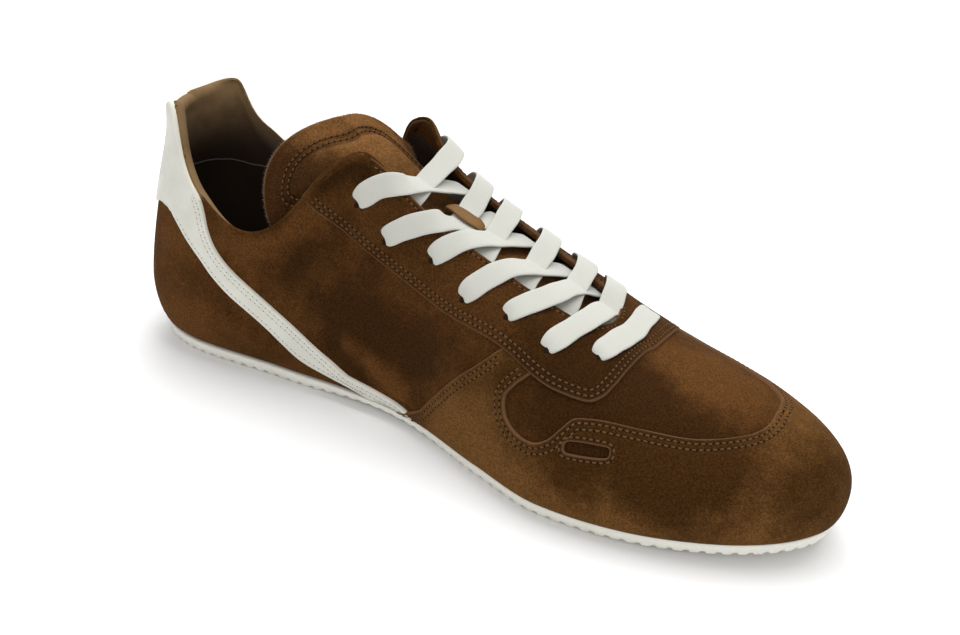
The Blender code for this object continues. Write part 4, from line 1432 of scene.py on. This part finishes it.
def make_tongue(mat):
    """Suede flap with a raw edge, padded inside its stitching."""
    along, across = np.meshgrid(np.linspace(0, 1, 150), np.linspace(-1, 1, 110), indexing="ij")
    face = tongue_point(along, across)
    du = np.gradient(face, axis=0)
    dv = np.gradient(face, axis=1)
    out = unit(np.cross(dv, du))
    out = out * np.sign((out[..., 2].sum()))
    border = np.concatenate([face[:, 0], face[-1], face[:, -1]])
    edge = gaps_to(face.reshape(-1, 3), border).reshape(along.shape)
    pad = TONGUE_PAD * ramp(edge, TONGUE_HEM - 0.5, TONGUE_HEM + 5) * ramp(along, *PAD_BEGINS)
    hem = -HEM_DEEP * sum(np.exp(-(((edge - row) / HEM_WIDE) ** 2)) for row in TONGUE_ROWS)
    near_edge = 1 - np.clip(edge / RAW_EDGE_WIDE, 0, 1)
    round_edge = RAW_EDGE_DROP * (1 - np.sqrt(1 - near_edge**2))
    from_bend = (along - BEND_AT - BEND_BOW * across**2) / BEND_WIDE
    bent = -BEND_DEEP * np.exp(-(from_bend**2)) * ramp(edge, *BEND_EDGE_SPAN)
    top = face + out * (pad + bent + hem * ramp(along, *HEM_BEGINS) - round_edge)[..., None]
    under = face - out * (TONGUE_THICK + PAD_BELOW * pad - round_edge)[..., None]
    # Painted highlight on the tongue's upper face and painted shade towards its inner edge, given as nap
    # values
    from_lit = ((along - LIT_ALONG) / LIT_LONG) ** 2 + ((across - LIT_ACROSS) / LIT_WIDE) ** 2
    nap = LIT_NAP * np.exp(-from_lit) - SHADED_NAP * ramp(-across, *SHADED_SPAN)
    n, m = along.shape
    index = np.arange(n * m).reshape(n, m)
    faces = [f[::-1] for f in grid_faces(index)] + [[p + n * m for p in f] for f in grid_faces(index)]
    rim = np.concatenate([index[0], index[1:, -1], index[-1, -2::-1], index[-2:0:-1, 0]])
    for a, b in zip(rim, np.roll(rim, -1)):
        faces.append([a, b, b + n * m, a + n * m])
    obj = mesh_piece("tongue_flap", np.concatenate([top.reshape(-1, 3), under.reshape(-1, 3)]), faces, mat,
                     {"edge": np.tile(edge.ravel(), 2), "nap": np.tile(nap.ravel(), 2)})
    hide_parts("tongue")
    rows = [tongue_row(face, out, edge, inset_by) for inset_by in TONGUE_ROWS]
    start = int(0.55 * n)

    def round_end(data, row):
        return np.concatenate([data[start:, row], data[-1 - row, 1:], data[-2:start:-1, -1 - row]])

    rim = round_end(face, 0)
    return obj, rows, (rim, unit(rim - round_end(face, 1)), round_end(out, 0))


FUZZ_GAP, FUZZ_LONG, FUZZ_ROUND, FUZZ_SUNK = 0.16, 1.3, 0.1, 0.3
GOLDEN_TURN = 2.399963


def make_fuzz(rim, away, out, mat):
    """Short loose fibres along the tongue's raw edge, leaning by a steady pattern."""
    t = travelled(rim)
    count = np.arange(0, t[-1], FUZZ_GAP)
    p, a, n = (read_along(count, t, values) for values in (rim, away, out))
    turn = np.arange(len(count)) * GOLDEN_TURN
    lean = np.cross(unit(a), unit(n)) * (0.8 * np.sin(turn))[:, None]
    way = unit(a + lean + n * (0.6 * np.cos(1.7 * turn))[:, None])
    long = FUZZ_LONG * (0.6 + 0.4 * np.sin(2.3 * turn))
    foot = p - a * FUZZ_SUNK - n * (1.2 + 0.9 * np.sin(3.1 * turn))[:, None]
    side = unit(np.cross(way, n))
    over_side = np.cross(way, side)
    parts = []
    for f, w, k, m, d in zip(foot, way, side, over_side, long):
        ring = [f + FUZZ_ROUND * spoke for spoke in (k, m * 0.87 - k * 0.5, m * -0.87 - k * 0.5)]
        spike = np.array(ring + [f + w * (d + FUZZ_SUNK)])
        parts.append((spike, [[0, 2, 1], [0, 1, 3], [1, 2, 3], [2, 0, 3]]))
    return mesh_piece("tongue_fuzz", *joined(parts), mat)


def tongue_row(face, out, edge, inset_by):
    """A stitch row at one distance inside the tongue's edge, up one side, round the end and down again."""
    count, middle = np.array(edge.shape), np.array((0.55, 0.5))
    turns, reaches = np.radians(np.linspace(-112, 112, 260)), np.linspace(0, 1.5, 240)
    turn, reach = np.meshgrid(turns, reaches, indexing="ij")
    i = np.clip(middle[0] + reach * np.cos(turn) * (1 - middle[0]), 0, 1) * (count[0] - 1)
    j = np.clip(middle[1] + reach * np.sin(turn) * middle[1], 0, 1) * (count[1] - 1)
    low_i, low_j = (np.minimum(k.astype(int), c - 2) for k, c in zip((i, j), count))

    def read(data):
        s, t = (k.reshape(k.shape + (1,) * (data.ndim - 2)) for k in (i - low_i, j - low_j))
        return ((1 - s) * ((1 - t) * data[low_i, low_j] + t * data[low_i, low_j + 1])
                + s * ((1 - t) * data[low_i + 1, low_j] + t * data[low_i + 1, low_j + 1]))

    ray, last = np.arange(len(turn)), np.argmax(read(edge) < inset_by, axis=1)
    points, outs = read(face)[ray, last], unit(read(out)[ray, last])
    reach = 4
    soft = np.ones(2 * reach + 1) / (2 * reach + 1)
    padded = np.pad(points, ((reach, reach), (0, 0)), "edge")
    points = np.stack([np.convolve(c, soft, "valid") for c in padded.T], -1)
    return points + outs * 0.1, outs


LACE_WIDE, LACE_THICK, LACE_HOLE = 8.4, 1.25, 2.1
EDGE_BEAD, MIDDLE_THIN = 0.22, 0.12

# Tip of a run: steps ahead and down into its hole, narrow length, length that opens, narrow share, crease
TIP_STEPS, TIP_NARROW, TIP_OPENS, TIP_WIDE = ((1.8, 0.7), (1.5, 2.6)), 1.8, 7.5, 0.22
CREASE_DEEP, CREASE_AT, CREASE_LONG = 0.35, 4.2, 1.8

# Where two runs may cross, their lift and gap there, and how the outer run comes down to the stay
CROSS_SHARES, CROSS_LIFT, CROSS_GAP, STAND_FADE = (0.25, 0.78), 0.8, 0.05, ((0.35, 0.4), (0.7, 0.1))


def ribbon(path, ups, wide, thick, crease=0.0):
    """A flat strip along a path: its face looks along ups, and a crease sinks its middle."""
    run = unit(np.gradient(path, axis=0))
    side = unit(np.cross(run, ups))
    up = np.cross(side, run)
    angle = np.linspace(0, 2 * np.pi, 25)[:-1]
    a = np.sign(np.cos(angle)) * np.abs(np.cos(angle)) ** 0.55
    b = np.sign(np.sin(angle)) * np.abs(np.sin(angle)) ** 0.8
    fuller = 1 + EDGE_BEAD * np.abs(a) ** 6 - MIDDLE_THIN * (1 - np.abs(a) ** 2)
    sunk = np.broadcast_to(crease, thick.shape)[:, None] * (1 - np.abs(a)) ** 1.5
    rings = (path[:, None] + side[:, None] * (a * 0.5)[None, :, None] * wide[:, None, None]
             + up[:, None] * (b * fuller * 0.5)[None, :, None] * thick[:, None, None]
             - up[:, None] * sunk[..., None])
    points, faces = loft(rings, closed=True, caps=True)
    t = travelled(path)
    flat = np.stack(np.broadcast_arrays(t[:, None], (a * 0.5)[None] * wide[:, None]), -1).reshape(-1, 2)
    return points, faces, flat


def softened(line, reach):
    """A line of points with each one made the mean of its neighbours within a reach, its ends kept."""
    ends = np.minimum(np.arange(len(line)), np.arange(len(line))[::-1])
    total = np.cumsum(np.concatenate([np.zeros((1, 3)), line]), axis=0)
    i, k = np.arange(len(line)), np.minimum(ends, reach)
    return (total[i + k + 1] - total[i - k]) / (2 * k + 1)[:, None]


def threaded(points, ups, count=80):
    """A smooth path through a run's points, with its facing directions and distance from its last point."""
    known = travelled(np.asarray(points, float))
    path = softened(traced(points, known[-1] / count), 4)
    share = np.linspace(0, 1, len(path))
    ups = read_along(share * known[-1], known, np.asarray(ups, float))
    return path, unit(softened(ups, 6)), travelled(path)[-1] - travelled(path)


def hole_spot(row, side):
    """Place of a lace hole on the last: the outer holes sit a little further ahead."""
    ahead = LACE_ROWS["far"][row] if side == OUTER else 0.0
    return np.array((LACE_ROWS["at"][row] + ahead, LACE_ROWS["up"][row]))


def hole_place(row, side, lift=0.0):
    return skin(*hole_spot(row, side), side, lift)


EDGE_AT = np.linspace(103, 209.5, 214)

# Height of a run's middle over the last: over the stay's edge, on the stay, at its hole, and below the stay
LACE_TAUT, LACE_OVER, LACE_ON, LACE_AT_HOLE, LACE_UNDER, LACE_HIDDEN = 1.35, 1.9, 1.45, 1.15, -3.4, -4.2


def edge_places(row, side):
    """Places where a run crosses the throat's edge on its own side and on the other."""
    if side == INNER:
        return LACE_ROWS["near_over"][row], LACE_ROWS["far_under"][row]
    own = LACE_ROWS["far_over"][row]
    over, start = skin(own, edge_up(own, side), side)[0], hole_place(row - 1, -side)[0]
    other = skin(EDGE_AT, edge_up(EDGE_AT, -side), -side)[0]
    long = np.linalg.norm(other - start, axis=1) + np.linalg.norm(other - over, axis=1)
    return own, EDGE_AT[long.argmin()]


def crossing(row):
    """Plan point where the two runs of a row cross."""
    ends = []
    for side in (INNER, OUTER):
        places = edge_places(row, side)
        ends += [skin(a, edge_up(a, s), s)[0][:2] for a, s in zip(places, (side, -side))]
    a, b, c, d = ends
    t = np.linalg.solve(np.stack([b - a, c - d], -1), c - a)[0]
    return a + (b - a) * np.clip(t, *CROSS_SHARES)


def into_hole(hole, out, ahead):
    """Last points of a run that turns down into its hole, with the ways its face looks there."""
    return [hole + ahead * on - out * down for on, down in TIP_STEPS], [unit(out + ahead), ahead]


def lace_run(row, side):
    """One run: from under the other facing up through the throat, over this facing into its hole."""
    other = -side
    hole, out = hole_place(row, side)
    near, far = edge_places(row, side)
    cross = crossing(row)
    lower = 0.0 if side == INNER else LACE_THICK + CROSS_GAP
    over, under = (skin(a, edge_up(a, s), s, lift)[0] for a, s, lift in zip(
        edge_places(row, INNER), (INNER, OUTER), (LACE_TAUT, LACE_UNDER)))
    share = np.clip((cross[1] - over[1]) / (under[1] - over[1]), 0, 1)
    taut = over[2] + (under[2] - over[2]) * share + CROSS_LIFT
    sag = KEEPER_SAG if row == KEEPER_ROW else 0.0
    top = max(taut - sag, smooth(cross[0], LACE_CROSSINGS, "x", "z") - LACE_THICK / 2 - sag / 2)
    middle = np.append(cross, top - lower)
    before, here = hole_spot(row - 1, other), hole_spot(row, side)
    far_edge, near_edge = (np.array((a, edge_up(a, s))) for a, s in ((far, other), (near, side)))
    points, ups = [], []

    def onto(place, place_side, lift):
        point, away = skin(*place, place_side, lift)
        points.append(point)
        ups.append(away)

    onto(before, other, LACE_UNDER)
    onto((before + far_edge) / 2, other, LACE_HIDDEN)
    level = np.array((0.35, 0, 1.0))
    onto(far_edge, other, LACE_UNDER)
    ups[-1] = unit(unit(level) * 2 + ups[-1])
    points.append(middle)
    ups.append(level)
    stand = 0.0 if side == INNER else LACE_ROWS["stand"][row]
    onto(near_edge, side, stand or LACE_OVER)
    for share, lift in STAND_FADE:
        onto(near_edge + (here - near_edge) * share, side, LACE_ON + lift * stand)
    onto(here, side, LACE_AT_HOLE)
    more, more_ups = into_hole(hole, out, unit(points[-1] - points[-3]))
    return points + more, ups + more_ups


BAR_AT, BAR_UP = {INNER: 208.2, OUTER: 212.0}, {INNER: 0.825, OUTER: 0.8}
BAR_CROWN, BAR_LIFT, HOLE_LOWER = 217.8, 1.6, 0.012


def bar_place(k):
    """Place of the straight front bar, from its inner hole at -1 over the crown to its outer hole at 1."""
    side = INNER if k < 0 else OUTER
    at = BAR_AT[side] + (BAR_CROWN - BAR_AT[side]) * (1 - abs(k))
    return at, 1 - (1 - BAR_UP[side]) * abs(k), side


def lace_hole_places():
    """Punched holes of the lace stay, each with its run and its outward direction."""
    places = []
    for row in range(len(LACE_ROWS["at"])):
        for side in (INNER, OUTER):
            at, up = hole_spot(row, side)
            if row == 0:
                at, up, _ = bar_place(side)
            p, n = skin(at, up - HOLE_LOWER, side, BASE_LIFT + OVERLAY_THICK)
            run = unit(np.cross(n, (1.0, 0, 0)))
            places.append((p, run, n))
    return places


def make_lace(mat):
    """The flat lace: a straight bar in front of the throat, then crossed runs up to the top holes."""
    parts, flats = [], []

    def lay(points, ups, both_ends=False):
        path, faces_up, left = threaded(points, ups)
        end = np.minimum(left, left[::-1]) if both_ends else left
        full = np.sqrt(1 - (1 - np.clip((end - TIP_NARROW) / TIP_OPENS, 0, 1)) ** 2)
        uneven = 1 + 0.03 * np.sin(left / 4.3 + len(parts)) + 0.02 * np.sin(left / 1.7 + 2 * len(parts))
        wide = LACE_WIDE * (TIP_WIDE + (1 - TIP_WIDE) * full) * uneven
        thick = LACE_THICK * (1.5 - 0.5 * full)
        crease = CREASE_DEEP * np.exp(-(((end - CREASE_AT) / CREASE_LONG) ** 2))
        *strip, flat = ribbon(path, faces_up, wide, thick, crease)
        parts.append(strip)
        flats.append(flat)

    points, ups = [], []
    for k in np.linspace(-1, 1, 13):
        at, up, side = bar_place(k)
        point, out = skin(at, up, side, BAR_LIFT)
        points.append(point)
        ups.append(out)
    for k, ends in ((-1, (0, 2)), (1, (-1, -3))):
        hole, out = skin(*bar_place(k))
        more, more_ups = into_hole(hole, out, unit(points[ends[0]] - points[ends[1]]))
        if k < 0:
            points, ups = more[::-1] + points, more_ups[::-1] + ups
        else:
            points, ups = points + more, ups + more_ups
    lay(points, ups, both_ends=True)
    for row in range(1, len(LACE_ROWS["at"])):
        for side in (INNER, OUTER):
            lay(*lace_run(row, side))
    points, faces = joined(parts)
    obj = mesh_piece("lace", points, faces, mat, flat_map=np.concatenate(flats))
    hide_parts(*(f"lace_{row + 1}" for row in range(len(LACE_ROWS["at"]))))
    return obj


KEEPER_ROW, KEEPER_LONG, KEEPER_WIDE, KEEPER_THICK = 5, 17.0, 7.6, 1.3
KEEPER_X, KEEPER_NEARER, KEEPER_Z, KEEPER_TIP = 133.0, 2.0, 80.2, 0.24
KEEPER_AHEAD, KEEPER_SLOPE, KEEPER_BOW, KEEPER_SAG = 7.8, 0.45, 2.2, 2.4


def make_keeper(mat):
    """Small leather loop on the tongue, bowed up over the lace that passes under it."""
    middle = np.array((KEEPER_X, centre(KEEPER_X) - KEEPER_NEARER, KEEPER_Z + KEEPER_THICK / 2))
    along = unit(np.array((1.0, 0, -KEEPER_SLOPE)))
    up = np.array((-along[2], 0, along[0]))
    steps = np.linspace(-1, 1, 41)
    path = middle + along * (KEEPER_AHEAD + steps * KEEPER_LONG / 2)[:, None]
    path = path - up * (KEEPER_BOW * np.abs(steps) ** 4)[:, None]
    wide = KEEPER_WIDE * (KEEPER_TIP + (1 - KEEPER_TIP) * (1 - steps**2) ** 0.7)
    points, faces, _ = ribbon(path, np.broadcast_to(up, path.shape), wide, np.full(41, KEEPER_THICK))
    obj = mesh_piece("lace_keeper", points, faces, mat)
    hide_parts("tongue_keeper")
    return obj


# Camera and light at the photograph's view
CAMERA_TARGET, CAMERA_AWAY = (145.0, 0.0, 45.0), 437.0
CAMERA_AZIMUTH, CAMERA_ELEVATION, CAMERA_ROLL = 24.9, 27.2, 3.85
PICTURE_WIDE, PICTURE_HIGH, FOCAL_PIXELS, TARGET_ROW = 960, 635, 1180.0, 296.5
SENSOR_MM = 36.0
FLOOR_HALF, SKY_STRENGTH = 6.0, 0.55


def axes_at(x, y, z, place):
    return Matrix([[x[i], y[i], z[i], place[i]] for i in range(3)] + [[0, 0, 0, 1]])


def make_camera():
    az, el, roll = (math.radians(v) for v in (CAMERA_AZIMUTH, CAMERA_ELEVATION, CAMERA_ROLL))
    back = np.array((math.sin(az) * math.cos(el), -math.cos(az) * math.cos(el), math.sin(el)))
    right = np.array((math.cos(az), math.sin(az), 0))
    up = np.cross(back, right)
    right, up = right * math.cos(roll) + up * math.sin(roll), up * math.cos(roll) - right * math.sin(roll)
    data = bpy.data.cameras.new("camera")
    data.sensor_fit = "HORIZONTAL"
    data.sensor_width = SENSOR_MM
    data.lens = FOCAL_PIXELS / PICTURE_WIDE * SENSOR_MM
    data.shift_y = (TARGET_ROW - PICTURE_HIGH / 2) / PICTURE_WIDE
    data.clip_start = 0.01
    camera = shown("camera", data)
    camera.matrix_world = axes_at(right, up, back, placed(np.array(CAMERA_TARGET) + back * CAMERA_AWAY))
    bpy.context.scene.camera = camera


def make_light(name, place, size, power):
    data = bpy.data.lights.new(name, "AREA")
    data.shape = "RECTANGLE"
    data.size, data.size_y = size
    data.energy = power
    z = unit(np.array(place))
    x = unit(np.cross((0, 1, 0.01), z))
    shown(name, data).matrix_world = axes_at(x, np.cross(z, x), z, place)


def make_stage():
    mesh = bpy.data.meshes.new("floor")
    corners = [(x * FLOOR_HALF, y * FLOOR_HALF, 0) for x, y in ((-1, -1), (1, -1), (1, 1), (-1, 1))]
    mesh.from_pydata(corners, [], [(0, 1, 2, 3)])
    mat, tree, shader, where = new_material("floor_paper")
    tone = span(tree, noise(tree, where, 3.0, 2.0), 0.3, 0.7)
    paper = mixed(tree, tone, (0.90, 0.90, 0.90, 1), (0.93, 0.93, 0.93, 1))
    set_inputs(tree, shader, {"Base Color": paper, "Roughness": 0.9})
    mesh.materials.append(mat)
    floor = shown("floor", mesh)
    world = bpy.data.worlds.new("studio")
    world.use_nodes = True
    sky = world.node_tree.nodes["Background"]
    set_inputs(world.node_tree, sky, {"Color": (1, 1, 1, 1), "Strength": SKY_STRENGTH})
    bpy.context.scene.world = world
    bpy.context.scene.view_settings.view_transform = "Standard"
    make_light("overhead", (0.0, 0.25, 1.25), (1.4, 1.0), 16.0)
    make_light("front", (0.5, -1.2, 0.9), (1.0, 0.8), 5.0)
    make_light("back", (-0.6, 0.9, 0.8), (0.9, 0.7), 5.0)


def main():
    edge_tone = (0.15, 0.080, 0.042)
    base = suede_material("suede_base", (0.033, 0.0134, 0.0036), (0.089, 0.0365, 0.0098), edge_tone, False)
    overlay = suede_material("suede_overlay", (0.043, 0.0180, 0.0045), (0.124, 0.0575, 0.0165), edge_tone)
    stay = suede_material("suede_stay", (0.031, 0.0127, 0.0032), (0.073, 0.0305, 0.0085), edge_tone)
    flap = suede_material("suede_tongue", (0.042, 0.0175, 0.0055), (0.155, 0.0710, 0.0230), edge_tone)
    white = leather_material("white_leather", (0.60, 0.595, 0.525), (0.66, 0.65, 0.585),
                             900.0, 0.5, 0.05, 0.4, edge_colour=(0.62, 0.58, 0.48))
    taupe = leather_material("lining_leather", (0.138, 0.084, 0.038), (0.198, 0.123, 0.057),
                             1100.0, 0.8, 0.05, 0.12, painted_shade_colour=(0.026, 0.016, 0.010))
    rubber = rubber_material("white_rubber", (0.80, 0.785, 0.71), (0.54, 0.49, 0.39))
    cotton = cotton_material("lace_cotton", (0.42, 0.42, 0.37), (0.55, 0.55, 0.50))
    tan = leather_material("keeper_leather", (0.140, 0.072, 0.023), (0.190, 0.100, 0.033),
                           1000.0, 0.65, 0.06, 0.15)
    sock = leather_material("sock_cloth", (0.010, 0.007, 0.005), (0.018, 0.012, 0.009),
                            1500.0, 0.85, 0.1, 0.1)
    brown_thread = thread_material("brown_thread", (0.140, 0.074, 0.033))
    tongue_thread = thread_material("tongue_thread", (0.135, 0.066, 0.026))
    fuzz_fibre = thread_material("fuzz_fibre", (0.31, 0.205, 0.120))
    hole_shadow = thread_material("needle_shadow", (0.018, 0.008, 0.003))
    white_thread = thread_material("white_thread", (0.60, 0.59, 0.52))
    seam_thread = thread_material("lining_seam", (0.12, 0.112, 0.092))
    strap_hole_shadow = thread_material("strap_needle_shadow", (0.26, 0.25, 0.21))

    make_sole(rubber)
    make_sock(sock)
    make_upper(base)
    make_lining(taupe)
    make_lining_seam(seam_thread)
    facing, facing_rows = make_facing(stay)
    toe, toe_rows = make_toe_overlay(overlay)
    _, strap_rows = make_strap(white)
    _, flap_rows, flap_rim = make_tongue(flap)
    make_fuzz(*flap_rim, fuzz_fibre)
    suede_rows = facing_rows + toe_rows
    stitches("suede_stitching", suede_rows, brown_thread)
    # Needle holes and lace holes are dark discs of painted shadow
    hole_shadow_discs("suede_needle_hole_shadows", row_places(suede_rows), hole_shadow, SUEDE_NEEDLE)
    stitches("tongue_stitching", flap_rows, tongue_thread)
    hole_shadow_discs("tongue_needle_hole_shadows", row_places(flap_rows), hole_shadow, FINE_NEEDLE)
    stitches("strap_stitching", strap_rows, white_thread, STRAP_STITCH_LONG, STRAP_STITCH_ROUND)
    hole_shadow_discs("strap_needle_hole_shadows", row_places(strap_rows), strap_hole_shadow, FINE_NEEDLE)
    hole_shadow_discs("lace_hole_shadows", lace_hole_places(), hole_shadow, LACE_HOLE)
    make_lace(cotton)
    make_keeper(tan)

    make_stage()
    make_camera()


main()
